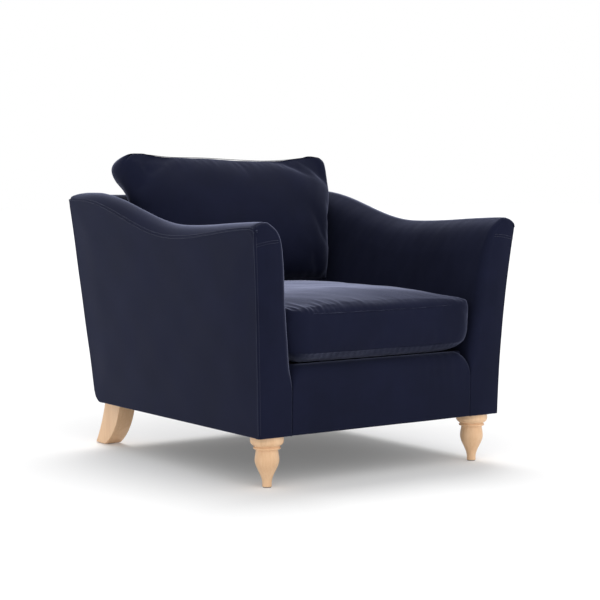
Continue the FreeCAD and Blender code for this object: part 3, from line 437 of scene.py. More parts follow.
# ---- the workbench ---------------------------------------------------------------------------------
class Bench:
    """Makes meshes with Blender's own operators and moves drawn points into the frame."""

    close: float = 1e-7
    sewn: float = 2e-5

    def __init__(self, hem_y: float) -> None:
        """Note the front hem's y in the frame."""
        self.shift = np.array([0.0, hem_y, 0.0])

    @staticmethod
    def settle() -> None:
        """Leave edit mode and deselect everything."""
        if bpy.context.object and bpy.context.object.mode != "OBJECT":
            bpy.ops.object.mode_set(mode="OBJECT")
        bpy.ops.object.select_all(action="DESELECT")

    def focus(self, piece: Object) -> None:
        """Make one piece the only selected and active one.

        Args:
            piece: The piece.
        """
        self.settle()
        piece.select_set(True)
        bpy.context.view_layer.objects.active = piece

    def named(self, name: str) -> Object:
        """Name the active object and its mesh.

        Args:
            name: The name.

        Returns:
            The object.
        """
        piece = bpy.context.object
        piece.name = piece.data.name = name
        return piece

    def edit(self, piece: Object, *steps: Callable[[], object]) -> None:
        """Run edit-mode steps on all of a piece's mesh.

        Args:
            piece: The piece.
            steps: Calls to make while everything is selected.
        """
        self.focus(piece)
        bpy.ops.object.mode_set(mode="EDIT")
        bpy.ops.mesh.select_all(action="SELECT")
        for step in steps:
            step()
        bpy.ops.object.mode_set(mode="OBJECT")

    def panel(self, name: str, points: Array, inside: Optional[Sequence[float]] = None) -> Object:
        """A grid primitive drawn out to a grid of points.

        Args:
            name: The piece's name.
            points: Rows by columns of drawn points.
            inside: A drawn point that the surface faces away from.

        Returns:
            The piece, its origin at the frame's.
        """
        rows, columns = points.shape[:2]
        self.settle()
        bpy.ops.mesh.primitive_grid_add(x_subdivisions=columns - 1, y_subdivisions=rows - 1, size=1.0)
        piece = self.named(name)
        start = self.raw_points(piece)
        column = np.rint((start[:, 0] + 0.5) * (columns - 1)).astype(int)
        row = np.rint((start[:, 1] + 0.5) * (rows - 1)).astype(int)
        self.redraw(piece, points[row, column])
        if inside is not None:
            self.face_away(piece, np.asarray(inside) + self.shift)
        return piece

    @staticmethod
    def raw_points(piece: Object) -> Array:
        """The piece's points in the frame."""
        return mesh_field(piece.data.vertices, "co")

    def drawn(self, piece: Object) -> Array:
        """The piece's points as they are drawn."""
        return self.raw_points(piece) - self.shift

    def redraw(self, piece: Object, points: Array) -> None:
        """Move the piece's points to new drawn places."""
        self.put_points(piece, points + self.shift)

    @staticmethod
    def raw_normals(piece: Object) -> Array:
        """The piece's normals, one a point."""
        return mesh_field(piece.data.vertex_normals, "vector")

    @staticmethod
    def put_points(piece: Object, points: Array) -> None:
        """Move the piece's points to new places in the frame."""
        piece.data.vertices.foreach_set("co", np.ascontiguousarray(points, np.float64).ravel())
        piece.data.update()

    def face_away(self, piece: Object, inside: Array) -> None:
        """Turn the faces over if most of them look towards a point.

        Args:
            piece: The piece.
            inside: A point in the frame on the hidden side.
        """
        faces = piece.data.polygons
        areas = np.array([face.area for face in faces])
        away = mesh_field(faces, "center") - inside
        outward = ((mesh_field(faces, "normal") * away).sum(1) * areas).sum()
        if outward < 0:
            self.edit(piece, bpy.ops.mesh.flip_normals)

    def merged(self, piece: Object, distance: float) -> Object:
        """Merge doubles and point the faces of a closed piece outwards.

        Args:
            piece: The piece.
            distance: How near to each other doubles lie.

        Returns:
            The same piece.
        """
        mesh = bpy.ops.mesh
        self.edit(piece, lambda: mesh.remove_doubles(threshold=distance), mesh.normals_make_consistent)
        return piece

    def applied(self, piece: Object, kind: str, **settings: object) -> Object:
        """Add a modifier, set it and apply it.

        Args:
            piece: The piece.
            kind: The modifier's type.
            settings: Its settings by name.

        Returns:
            The same piece.
        """
        self.focus(piece)
        modifier = piece.modifiers.new(kind.title(), kind)
        for key, value in settings.items():
            setattr(modifier, key, value)
        bpy.ops.object.modifier_apply(modifier=modifier.name)
        return piece

    def lined(self, piece: Object, thickness: float) -> Object:
        """Give an open skin its thickness, inwards."""
        return self.applied(piece, "SOLIDIFY", thickness=thickness, offset=-1.0, use_even_offset=False)

    def skin(self, name: str, points: Array, inside: Sequence[float], thickness: float) -> Object:
        """A smooth open skin with its thickness."""
        return self.smooth(self.lined(self.panel(name, points, inside), thickness))

    def smooth(self, piece: Object, angle: float = 60.0) -> Object:
        """Shade smooth, keeping sharp edges.

        Args:
            piece: The piece.
            angle: Least angle of a sharp edge, in degrees.

        Returns:
            The same piece.
        """
        self.focus(piece)
        bpy.ops.object.shade_smooth_by_angle(angle=math.radians(angle))
        return piece

    def joined(self, name: str, parts: Sequence[Object]) -> Object:
        """Join parts into one piece.

        Args:
            name: The piece's name.
            parts: Its parts.

        Returns:
            The piece.
        """
        self.settle()
        for part in parts:
            part.select_set(True)
        bpy.context.view_layer.objects.active = parts[0]
        bpy.ops.object.join()
        return self.named(name)

    def repeated(self, name: str, pattern: Object, frames: Sequence[Array]) -> Object:
        """Copy one small pattern to many places as a single mesh.

        Args:
            name: The piece's name.
            pattern: The pattern, modelled round the frame's origin; it is used up.
            frames: One 3 by 4 matrix a copy, in drawn coordinates.

        Returns:
            The piece.
        """
        points = self.raw_points(pattern)
        faces = [tuple(face.vertices) for face in pattern.data.polygons]
        stack = np.stack(frames)
        placed = points @ np.transpose(stack[:, :, :3], (0, 2, 1)) + stack[:, None, :, 3] + self.shift
        count = len(points)
        every = [tuple(v + copy * count for v in face) for copy in range(len(frames)) for face in faces]
        mesh = bpy.data.meshes.new(name)
        mesh.from_pydata(placed.reshape(-1, 3).tolist(), [], every)
        piece = bpy.data.objects.new(name, mesh)
        bpy.context.scene.collection.objects.link(piece)
        bpy.data.objects.remove(pattern)
        for face in mesh.polygons:
            face.use_smooth = True
        return piece

    def tube(self, name: str, path: Array, radius: float, sides: int = 8, closed: bool = False) -> Object:
        """A thin tube along a path, its ends closed.

        Args:
            name: The piece's name.
            path: Drawn points of its middle line.
            radius: The tube's radius.
            sides: How many sides it has.
            closed: Whether the path comes back to its start.

        Returns:
            The piece.
        """
        ahead = np.roll(path, -1, axis=0) - np.roll(path, 1, axis=0)
        if not closed:
            ahead[0], ahead[-1] = path[1] - path[0], path[-1] - path[-2]
        ahead = unit(ahead)
        turn = np.linspace(0.0, ROUND, sides + 1)[:, None]
        rings, side = [], np.cross(ahead[0], [0.31, 0.53, 0.79])
        for point, forward in zip(path, ahead):
            side = unit(side - forward * (side @ forward))
            rings.append(point + radius * (np.cos(turn) * side + np.sin(turn) * np.cross(forward, side)))
        if closed:
            rings.append(rings[0])
        else:
            rings = [np.repeat(path[:1], sides + 1, 0), *rings, np.repeat(path[-1:], sides + 1, 0)]
        return self.smooth(self.merged(self.panel(name, np.stack(rings)), self.close))


@dataclass(frozen=True)
class Stitching:
    """A run of machine stitches: short beads of thread that dip at both ends."""

    stitch: float = 0.0052
    gap: float = 0.0011
    radius: float = 0.00062

    def bead(self, bench: Bench) -> Object:
        """One stitch along x, a few dozen faces.

        Args:
            bench: Where it is made.

        Returns:
            The bead.
        """
        reach = self.stitch / 2 * np.array([-1.0, -0.7, 0.0, 0.7, 1.0])[:, None]
        size = self.radius * np.array([0.15, 0.9, 1.0, 0.9, 0.15])[:, None]
        drop = self.radius * np.array([-1.5, 0.0, 0.15, 0.0, -1.5])[:, None]
        turn = np.linspace(0.0, ROUND, 7)
        rings = xyz(reach, size * np.cos(turn), size * np.sin(turn) + drop)
        return bench.merged(bench.panel("bead", rings - bench.shift), bench.close)

    def run(self, bench: Bench, name: str, path: Array, normals: Array) -> Object:
        """Lay stitches along a path on a surface.

        Args:
            bench: Where it is made.
            name: The piece's name.
            path: Drawn points on the surface.
            normals: The surface's normals there.

        Returns:
            The piece.
        """
        length = path_length(path)
        frames = []
        for middle in np.arange(self.stitch, length[-1] - self.stitch / 2, self.stitch + self.gap):
            ends = [middle - self.stitch / 2, middle, middle + self.stitch / 2]
            points = np.stack([np.interp(ends, length, path[:, k]) for k in range(3)], axis=1)
            up = np.array([np.interp(middle, length, normals[:, k]) for k in range(3)])
            forward = unit(points[2] - points[0])
            side = unit(np.cross(up, forward))
            frames.append(np.stack([forward, side, np.cross(forward, side), points[1]], axis=1))
        return bench.repeated(name, self.bead(bench), frames)


# ---- finishes --------------------------------------------------------------------------------------
Colour = tuple[float, float, float]
Socket = bpy.types.NodeSocket


class Net:
    """Short calls for building one node tree."""

    def __init__(self, tree: bpy.types.NodeTree) -> None:
        """Work in a material's or a group's tree."""
        self.tree = tree

    def add(self, kind: str, inputs: Optional[dict] = None, **settings: object) -> bpy.types.Node:
        """Add a node, set its properties and its inputs.

        Args:
            kind: The node's type.
            inputs: Values or sockets to link, by input name or number.
            settings: The node's own properties.

        Returns:
            The node.
        """
        node = self.tree.nodes.new(kind)
        for key, value in settings.items():
            setattr(node, key, value)
        for key, value in (inputs or {}).items():
            socket = node.inputs[key]
            if isinstance(value, Socket):
                self.tree.links.new(value, socket)
            elif isinstance(value, tuple) and socket.type == "RGBA":
                socket.default_value = (*value, 1.0)
            else:
                socket.default_value = value
        return node

    def noise(self, vector: Socket, scale: object, detail: float = 2.0, roughness: float = 0.5) -> Socket:
        """Noise between 0 and 1 at a scale."""
        inputs = {"Vector": vector, "Scale": scale, "Detail": detail, "Roughness": roughness}
        return self.add("ShaderNodeTexNoise", inputs).outputs[0]

    def math(self, operation: str, first: object, second: object = 0.0, clamp: bool = False) -> Socket:
        """One arithmetic step."""
        node = self.add("ShaderNodeMath", {0: first, 1: second}, operation=operation, use_clamp=clamp)
        return node.outputs[0]

    def times(self, first: object, second: object) -> Socket:
        """A product."""
        return self.math("MULTIPLY", first, second)

    def plus(self, first: object, second: object, clamp: bool = False) -> Socket:
        """A sum."""
        return self.math("ADD", first, second, clamp)

    def stretched(self, vector: Socket, *scale: float) -> Socket:
        """A vector scaled along each axis."""
        return self.add("ShaderNodeMapping", {"Vector": vector, "Scale": scale}).outputs[0]

    def between(self, share: Socket, low: "Colour | Socket", high: "Colour | Socket") -> Socket:
        """A colour between two.

        Args:
            share: Share of the way to the high one.
            low: One colour or its socket.
            high: The other.

        Returns:
            The mixed colour.
        """
        node = self.add("ShaderNodeMix", {}, data_type="RGBA")
        self.tree.links.new(share, node.inputs["Factor"])
        for socket, value in ((node.inputs[6], low), (node.inputs[7], high)):
            if isinstance(value, tuple):
                socket.default_value = (*value, 1.0)
            else:
                self.tree.links.new(value, socket)
        return node.outputs[2]

    def eased(self, value: Socket, low: float, high: float) -> Socket:
        """Map a range to 0 to 1 with flat ends."""
        inputs = {"Value": value, "From Min": low, "From Max": high}
        return self.add("ShaderNodeMapRange", inputs, interpolation_type="SMOOTHSTEP").outputs[0]


class Pattern(Enum):
    """Surface patterns shared by several finishes, each a shader node group."""

    NAP = "nap"
    GRAIN = "grain"
    WEAVE = "weave"
    SPECKLE = "speckle"

    def group(self) -> bpy.types.NodeTree:
        """The pattern's group, built once.

        Returns:
            A group that takes Vector and Scale and puts out Mask and Height.
        """
        known = bpy.data.node_groups.get(self.value)
        if known:
            return known
        tree = bpy.data.node_groups.new(self.value, "ShaderNodeTree")
        for name, side, kind in (
            ("Vector", "INPUT", "Vector"), ("Scale", "INPUT", "Float"), ("Mask", "OUTPUT", "Float"),
            ("Height", "OUTPUT", "Float"),
        ):
            tree.interface.new_socket(name, in_out=side, socket_type=f"NodeSocket{kind}")
        net = Net(tree)
        entry = net.add("NodeGroupInput")
        mask, height = getattr(self, f"_{self.value}")(net, entry.outputs[0], entry.outputs[1])
        net.add("NodeGroupOutput", {0: mask, 1: height})
        return tree

    # Each maker takes a net, the vector and the scale, and gives back the pattern's mask and height.
    @staticmethod
    def _nap(net: Net, vector: Socket, scale: Socket) -> tuple[Socket, Socket]:
        """Velvet: cloudy patches of tone, upright streaks and the pile itself."""
        clouds = net.noise(vector, net.times(scale, 7.0), 3.0, 0.55)
        streaks = net.noise(net.stretched(vector, 1.0, 1.0, 0.16), net.times(scale, 55.0), 3.0, 0.6)
        pile = net.noise(vector, net.times(scale, 1500.0), 1.0, 0.5)
        tufts = net.noise(net.stretched(vector, 1.0, 1.0, 0.5), net.times(scale, 420.0), 2.0, 0.6)
        broad = net.times(net.eased(clouds, 0.3, 0.7), 0.5)
        fine = net.plus(net.times(streaks, 0.3), net.times(pile, 0.2))
        height = net.plus(net.times(pile, 0.6), net.times(tufts, 0.4))
        return net.plus(broad, fine, clamp=True), height

    @staticmethod
    def _grain(net: Net, vector: Socket, scale: Socket) -> tuple[Socket, Socket]:
        """Timber: year rings drawn out along z, fine fibres and short rays."""
        rings = net.noise(net.stretched(vector, 1.0, 1.0, 0.09), net.times(scale, 26.0), 3.0, 0.55)
        bands = net.math("PINGPONG", net.times(rings, 9.0), 1.0)
        fibres = net.noise(net.stretched(vector, 1.0, 1.0, 0.035), net.times(scale, 420.0), 3.0, 0.6)
        rays = net.noise(net.stretched(vector, 1.0, 1.0, 0.12), net.times(scale, 700.0), 1.0, 0.4)
        flecks = net.eased(rays, 0.62, 0.74)
        tone = net.plus(net.times(bands, 0.45), net.times(fibres, 0.55))
        mask = net.plus(tone, net.times(flecks, 0.25), clamp=True)
        return mask, net.math("SUBTRACT", fibres, net.times(flecks, 0.35))

    @staticmethod
    def _weave(net: Net, vector: Socket, scale: Socket) -> tuple[Socket, Socket]:
        """Cloth: warp and weft that pass over each other, a little uneven."""
        split = net.add("ShaderNodeSeparateXYZ", {0: vector})
        pitch = net.times(scale, 3500.0)
        lengthways = net.plus(split.outputs[1], split.outputs[2])
        warp = net.math("SINE", net.times(split.outputs[0], pitch))
        weft = net.math("SINE", net.times(lengthways, pitch))
        over = net.times(warp, weft)
        slub = net.noise(net.stretched(vector, 1.0, 0.15, 0.15), net.times(scale, 300.0), 2.0)
        height = net.plus(net.times(over, 0.35), net.times(slub, 0.5))
        return net.plus(net.times(over, 0.2), slub, clamp=True), height

    @staticmethod
    def _speckle(net: Net, vector: Socket, scale: Socket) -> tuple[Socket, Socket]:
        """Foam, board, plating and moulded skin: grains with a slow drift of tone."""
        grains = net.noise(vector, net.times(scale, 600.0), 3.0, 0.6)
        drift = net.noise(vector, net.times(scale, 25.0), 2.0, 0.5)
        mask = net.plus(net.times(grains, 0.6), net.times(drift, 0.4), clamp=True)
        return mask, grains


@dataclass(frozen=True)
class PaintedSheenFade:
    """Painted shade on the painted sheen: it fades towards the front and towards one side, where less light
    falls.
    """

    front: tuple[float, float]
    side: tuple[float, float]
    front_loss: float = 0.40
    corner_loss: float = 0.36
    side_loss: float = 0.10

    def share(self, net: Net, where: Socket) -> Socket:
        """How much of the painted sheen is left.

        Args:
            net: The net to build in.
            where: The place on the piece.

        Returns:
            The share, at most 1.
        """
        split = net.add("ShaderNodeSeparateXYZ", {0: where})
        ahead = net.math("SUBTRACT", 1.0, net.eased(split.outputs[1], *self.front))
        across = net.eased(split.outputs[0], *self.side)
        worn = net.plus(net.times(across, self.corner_loss), self.front_loss)
        lost = net.plus(net.times(ahead, worn), net.times(across, self.side_loss))
        return net.math("SUBTRACT", 1.0, lost, clamp=True)


@dataclass(frozen=True)
class Finish:
    """A finish: two tones laid by a pattern, with its relief, its gloss and an optional painted sheen."""

    name: str
    slot: str
    dark: Colour
    light: Colour
    pattern: Pattern
    scale: float = 1.0
    roughness: tuple[float, float] = (0.8, 0.9)
    relief: float = 0.3
    relief_depth: float = 0.0004
    metallic: float = 0.0
    sheen: float = 0.0
    sheen_roughness: float = 0.4
    sheen_tint: Colour = (1.0, 1.0, 1.0)
    specular: float = 0.5
    coat: float = 0.0
    # Painted sheen: a pale colour that the base colour goes towards where the surface is seen edge-on, its
    # power, and an optional fade of it by place.
    painted_sheen: Optional[Colour] = None
    painted_sheen_power: float = 4.0
    brushed: Optional[PaintedSheenFade] = None

    def material(self) -> Material:
        """The finish's material, built once.

        Returns:
            The material.
        """
        known = bpy.data.materials.get(self.name)
        if known:
            return known
        material = bpy.data.materials.new(self.name)
        material.use_nodes = True
        net = Net(material.node_tree)
        net.tree.nodes.clear()
        where = net.add("ShaderNodeTexCoord").outputs["Object"]
        pattern = net.add("ShaderNodeGroup", node_tree=self.pattern.group())
        net.tree.links.new(where, pattern.inputs[0])
        pattern.inputs[1].default_value = self.scale
        mask, height = pattern.outputs
        low, high = self.roughness
        rough = net.add("ShaderNodeMapRange", {0: mask, 3: low, 4: high}).outputs[0]
        grain = {"Strength": self.relief, "Distance": self.relief_depth, "Height": height}
        bump = net.add("ShaderNodeBump", grain).outputs[0]
        colour = net.between(mask, self.dark, self.light)
        # Painted sheen: mix the base colour towards the painted sheen colour where the surface is seen
        # edge-on, weaker where the fade says so.
        if self.painted_sheen:
            facing = net.add("ShaderNodeLayerWeight", {"Blend": 0.5, "Normal": bump}).outputs["Facing"]
            share = net.math("POWER", facing, self.painted_sheen_power)
            if self.brushed:
                share = net.times(share, self.brushed.share(net, where))
            colour = net.between(share, colour, self.painted_sheen)
        shader = net.add(
            "ShaderNodeBsdfPrincipled",
            {
                "Base Color": colour,
                "Roughness": rough,
                "Normal": bump,
                "Metallic": self.metallic,
                "Specular IOR Level": self.specular,
                "Sheen Weight": self.sheen,
                "Sheen Roughness": self.sheen_roughness,
                "Sheen Tint": self.sheen_tint,
                "Coat Weight": self.coat,
            },
        )
        net.add("ShaderNodeOutputMaterial", {0: shader.outputs[0]})
        return material

    def dress(self, piece: Object) -> Object:
        """Give a piece this finish alone.

        Args:
            piece: A new piece or a carried-over node.

        Returns:
            The piece.
        """
        if "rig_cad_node" not in piece:
            piece.data.materials.clear()
            piece.data.materials.append(self.material())
        else:
            for place in piece.material_slots:
                place.material = self.material()
        return piece


NAVY_SHEEN = (0.57, 0.64, 1.0)
# The velvet's base colour turns to a pale painted sheen where the surface is seen edge-on.
VELVET = Finish(
    "navy_velvet", "velvet", (0.0050, 0.0065, 0.0185), (0.0092, 0.0112, 0.0300), Pattern.NAP, 1.0,
    (0.8, 0.92), 0.35, 0.0006, sheen=0.20, sheen_roughness=0.30, sheen_tint=NAVY_SHEEN, specular=0.10,
    painted_sheen=(0.255, 0.275, 0.405), painted_sheen_power=5.5,
)
# Painted shade: the rail's copy has a much weaker painted sheen, darkening its lip under the seat cushion's
# overhang.
RAIL_VELVET = replace(VELVET, name="navy_velvet_brushed_down", painted_sheen=(0.07, 0.08, 0.13))
# Painted shade: the back cushion's copy has a weaker painted sheen, so its top edge seen edge-on stays
# darker.
BACK_VELVET = replace(VELVET, name="navy_velvet_upright", painted_sheen=(0.125, 0.135, 0.205))
# Painted light: the seat's copy has a stronger painted sheen, faded towards the front and one side where less
# light falls.
SEAT_VELVET = replace(
    VELVET, name="navy_velvet_stroked", painted_sheen=(0.325, 0.35, 0.50),
    brushed=PaintedSheenFade(front=(-0.455, -0.20), side=(-0.12, 0.20)),
)
# Stitch thread, lighter than the velvet: partly the thread's own tone, partly painted highlight for the light
# the stitches catch.
PIPED_VELVET = Finish(
    "seam_thread", "velvet", (0.013, 0.015, 0.030), (0.027, 0.030, 0.055), Pattern.SPECKLE, 2.0,
    (0.6, 0.75), 0.3, 0.0002, sheen=0.4, sheen_roughness=0.35, sheen_tint=NAVY_SHEEN, specular=0.3,
)
SEAM_SHADE = Finish(
    "seam_shade", "velvet", (0.0030, 0.0036, 0.0100), (0.0060, 0.0070, 0.0180), Pattern.SPECKLE, 2.0,
    (0.85, 0.95), 0.3, 0.0002, specular=0.05,
)
PLATFORM = Finish(
    "platform_cloth", "deck_cloth", (0.006, 0.006, 0.012), (0.022, 0.023, 0.040), Pattern.WEAVE, 1.0,
    (0.85, 0.95), 0.5, 0.0004, specular=0.04,
)
DUST_CLOTH = Finish(
    "dust_cloth", "dust_cloth", (0.004, 0.004, 0.004), (0.018, 0.018, 0.019), Pattern.SPECKLE, 1.4,
    (0.8, 0.95), 0.4, 0.0004, sheen=0.1, specular=0.2,
)
BEECH = Finish(
    "oiled_beech", "leg_timber", (0.74, 0.450, 0.245), (0.90, 0.615, 0.380), Pattern.GRAIN, 1.0,
    (0.38, 0.52), 0.12, 0.0003, specular=0.45, coat=0.12,
)
FRAME_TIMBER = Finish(
    "planed_frame_timber", "frame_timber", (0.40, 0.26, 0.14), (0.66, 0.50, 0.32), Pattern.GRAIN, 0.6,
    (0.6, 0.75), 0.3,
)
ZINC = Finish(
    "zinc_plating", "zinc_steel", (0.42, 0.43, 0.44), (0.68, 0.69, 0.70), Pattern.SPECKLE, 1.0,
    (0.3, 0.45), 0.1, metallic=1.0,
)
SPRING = Finish(
    "oil_tempered_wire", "spring_steel", (0.10, 0.10, 0.105), (0.26, 0.26, 0.27), Pattern.SPECKLE, 0.8,
    (0.3, 0.5), 0.1, metallic=1.0,
)
NYLON = Finish(
    "moulded_nylon", "nylon", (0.12, 0.11, 0.10), (0.22, 0.20, 0.18), Pattern.SPECKLE, 1.0,
    (0.45, 0.6), 0.15,
)
ZIP_TAPE = Finish(
    "zip_tape", "zip_tape", (0.010, 0.011, 0.028), (0.030, 0.033, 0.065), Pattern.WEAVE, 1.6,
    (0.6, 0.8), 0.5,
)
ZIP_METAL = Finish(
    "antique_zip_metal", "zip_metal", (0.16, 0.15, 0.14), (0.42, 0.40, 0.37), Pattern.SPECKLE, 1.5,
    (0.28, 0.5), 0.15, metallic=1.0,
)
HESSIAN = Finish(
    "hessian", "hessian", (0.22, 0.15, 0.08), (0.46, 0.36, 0.22), Pattern.WEAVE, 0.5,
    (0.85, 0.95), 0.8, 0.001,
)
WEBBING = Finish(
    "webbing", "webbing", (0.06, 0.05, 0.045), (0.20, 0.17, 0.14), Pattern.WEAVE, 0.7,
    (0.8, 0.9), 0.6,
)
FOAM = Finish(
    "open_cell_foam", "foam", (0.62, 0.56, 0.38), (0.86, 0.82, 0.64), Pattern.SPECKLE, 1.0,
    (0.9, 1.0), 0.6, 0.001,
)
FIBRE = Finish(
    "fibre_wadding", "fibre", (0.74, 0.74, 0.71), (0.93, 0.93, 0.91), Pattern.SPECKLE, 0.5,
    (0.9, 1.0), 0.6, 0.002,
)
BOARD = Finish(
    "panel_board", "board", (0.34, 0.26, 0.17), (0.54, 0.44, 0.31), Pattern.SPECKLE, 0.7,
    (0.85, 0.95), 0.3,
)

NODE_FINISHES: dict[str, Finish] = {
    finish.slot: finish
    for finish in (
        VELVET, PLATFORM, DUST_CLOTH, BEECH, FRAME_TIMBER, ZINC, SPRING, NYLON, ZIP_TAPE, ZIP_METAL, HESSIAN,
        WEBBING, FOAM, FIBRE, BOARD,
    )
}


def finished(
    piece: Object, finish: Finish, *nodes: str, fill: Optional[float] = None, body: Optional[str] = None
) -> Object:
    """Dress a piece, hide the nodes that it replaces and attach it to its body.

    Args:
        piece: The piece.
        finish: Its finish.
        nodes: The nodes that it replaces.
        fill: Not used.
        body: The body that it rides on, if that isn't the chair.

    Returns:
        The piece.
    """
    finish.dress(piece)
    if body:
        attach(piece, body)
    if nodes:
        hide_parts(*nodes)
    return piece


# ---- the arms --------------------------------------------------------------------------------------
EDGE_FADE = (0.0, 0.0003, 0.0009, 0.0017, 0.0026, 0.0036)
FOOT, FACE, ROLL = 0, 1, 2


@dataclass
class Arm:
    """One upholstered arm: the wrapped skin, the outside panel and their stitching.

    The wrap's rows run from the inside foot up the face and over the roll to the outside seam. Each has its
    part (FOOT, FACE or ROLL) and its place along that part, and the roll ends at seam_place.
    """

    bench: Bench
    side: Side
    inner_edge_radius: float = 0.026
    crest_edge_radius: float = 0.012
    corner_edge_radius: float = 0.006
    foot_edge_radius: float = 0.0035
    foot_edge_top_z: float = 0.250
    full_edge_z: float = 0.322
    seam_roll: float = 0.0022
    rear_roll: float = 0.0012
    hem_roll: float = 0.0026
    hem_turn_in: float = 0.014
    seam_turn_in: float = 0.006
    seam_place: float = 5.0
    seam_pitch: float = 0.0175
    front_steps: int = 25
    front_swell: float = 0.0030
    cap_seam_heights: tuple[float, float] = (0.6440, 0.6502)
    cap_seam_drop: float = 0.013
    cap_seam_end_x: float = 0.3672
    panel_stitch: float = 0.0038
    skin_stitch_place: float = 4.845
    stitch_turn: float = 0.009
    skin: float = 0.003
    pad_fill: float = 0.85
    inside_point: tuple[float, float, float] = (0.385, 0.45, 0.40)

    def build(self) -> list[Object]:
        """Make and dress the arm's pieces.

        Returns:
            The pieces.
        """
        tag = self.side.label
        points = self.softened(self.wrap_points())
        wrap = self.shell(f"arm_wrap_{tag}", points)
        outside = self.shell(f"arm_outside_{tag}", self.panel_points())
        nodes = [f"arm_cover_{tag}", f"arm_front_cap_{tag}", f"arm_front_panel_{tag}"]
        finished(wrap, VELVET, *nodes, fill=self.pad_fill)
        finished(outside, VELVET, f"outside_arm_panel_{tag}", fill=self.pad_fill)
        stitches = PIPED_VELVET.dress(self.stitching(f"arm_stitching_{tag}", points))
        dart = SEAM_SHADE.dress(self.dart_line(f"arm_dart_{tag}"))
        return [wrap, outside, stitches, dart]

    def handed(self, points: Array) -> Array:
        """Mirror drawn points to this arm's side."""
        return points * np.array([self.side.value, 1.0, 1.0])

    def shell(self, name: str, points: Array) -> Object:
        """A skin of the arm's own thickness, cut level at the hem.

        Args:
            name: The piece's name.
            points: The left arm's points.

        Returns:
            The piece.
        """
        inside = self.handed(np.array(self.inside_point))
        piece = self.bench.lined(self.bench.panel(name, self.handed(points), inside), self.skin)
        drawn = self.bench.drawn(piece)
        drawn[:, 2] = np.maximum(drawn[:, 2], BODY.hem_z - 0.0002)
        self.bench.redraw(piece, drawn)
        return self.bench.smooth(piece)

    # -- the wrap --
    def section(self, part: Array, place: Array, y: Array) -> tuple[Array, Array]:
        """The wrap's cross-section, from the inside foot over the crest to the outside seam.

        Args:
            part: Each row's part.
            place: Its place along it.
            y: Distance from the front hem at each row and column.

        Returns:
            x and z at each row and column.
        """
        crown, seam = BODY.crown_z(y), BODY.seam_z(y)
        seam_x = BODY.outer_x(y, seam)
        crest_x = seam_x - BODY.crown_width
        round_z = crown - BODY.round_drop
        deep, wide, half = BODY.round_drop, BODY.round_width, math.sqrt(0.5)
        before_z = round_z - 0.045
        knots = (
            (BODY.inner_x(before_z), before_z),
            (BODY.inner_x(round_z), round_z),
            (crest_x - 0.585 * wide, crown - 0.255 * deep),
            (crest_x - 0.235 * wide, crown - 0.078 * deep),
            (crest_x, crown),
            (crest_x + BODY.crown_width * half, crown - (crown - seam) * (1 - half)),
            (seam_x, seam),
            (seam_x + 0.002, seam - 0.012),
        )
        part, place = part[:, None], place[:, None] + np.zeros_like(y)
        roll = spline_through([np.stack(knot, axis=-1) for knot in knots], np.where(part == ROLL, place, 0.0))
        foot_z = BODY.hem_z + (BODY.inner_kink_z - BODY.hem_z) * place
        face_z = BODY.inner_kink_z + (round_z - BODY.inner_kink_z) * place
        z = np.where(part == FOOT, foot_z, np.where(part == FACE, face_z, roll[..., 1]))
        return np.where(part == ROLL, roll[..., 0], BODY.inner_x(z)), z

    def rows(self) -> tuple[Array, Array]:
        """The wrap's rows, close together at the hem, the cap seam and the outside seam.

        Returns:
            Each row's part and its place along it.
        """
        foot_height = BODY.inner_kink_z - BODY.hem_z
        foot = [0.0, *(gap / foot_height for gap in EDGE_FADE), *np.linspace(0.05, 0.95, 17)]
        face = np.linspace(0.0, 0.985, 42)
        cap_start, cap_end = 0.40, 0.80
        roll = [
            *np.linspace(0.04, cap_start, 7, endpoint=False),
            *np.linspace(cap_start, cap_end, 25, endpoint=False),
            *np.linspace(cap_end, 4.85, 42),
            *(self.seam_place - gap / self.seam_pitch for gap in reversed(EDGE_FADE[:-1])),
            self.seam_place,
        ]
        part = np.repeat([FOOT, FACE, ROLL], [len(foot), len(face), len(roll)])
        return part, np.concatenate([foot, face, roll])

    def edge_radius(self, part: Array, place: Array, z: Array) -> Array:
        """How round the front edge is at each row.

        Args:
            part: Each row's part.
            place: Its place along it.
            z: Its height.

        Returns:
            The radii.
        """
        climb = np.where(part == ROLL, place, 0.0)
        radius = self.foot_edge_radius + (self.inner_edge_radius - self.foot_edge_radius) * smooth_step(
            self.foot_edge_top_z, self.full_edge_z, z
        )
        reach = np.select([part == FACE, part == ROLL], [smooth_step(0.5, 1.0, place), 1.0])
        over = smooth_step(-0.6, 1.3, climb) * reach
        radius = radius + (self.crest_edge_radius - self.inner_edge_radius) * over
        return radius + (self.corner_edge_radius - radius) * smooth_step(3.6, self.seam_place, climb)

    def wrap_points(self) -> Array:
        """The skin that runs from the outer front edge across the front and back along the arm.

        Returns:
            Rows by columns of drawn points for the left arm.
        """
        part, place = self.rows()
        climb = np.where(part == ROLL, place, 0.0)
        guess = np.zeros((len(part), 1))
        for _ in range(4):
            x, z = self.section(part, place, guess)
            radius = self.edge_radius(part, place, z[:, 0])
            guess = BODY.front_y(z) + radius[:, None]
        x, z = x[:, 0], z[:, 0]
        tangent = np.gradient(np.stack([x, z], axis=1), axis=0)
        tangent[0] = tangent[1] = (0.0, 1.0)
        tangent = unit(tangent)
        normal = np.stack([-tangent[:, 1], tangent[:, 0]], axis=1)
        front = self.front_face(climb, z, x - radius * normal[:, 0], z - radius * normal[:, 1])

        # the rim: a quarter turn from the front face to the arm's length
        turn = np.radians(np.linspace(0.0, 90.0, 11)[1:])
        inward = radius[:, None] * (1 - np.sin(turn))
        rim_y = BODY.front_y(z)[:, None] + radius[:, None] * (1 - np.cos(turn))
        rim = xyz(x[:, None] - normal[:, :1] * inward, rim_y, z[:, None] - normal[:, 1:] * inward)

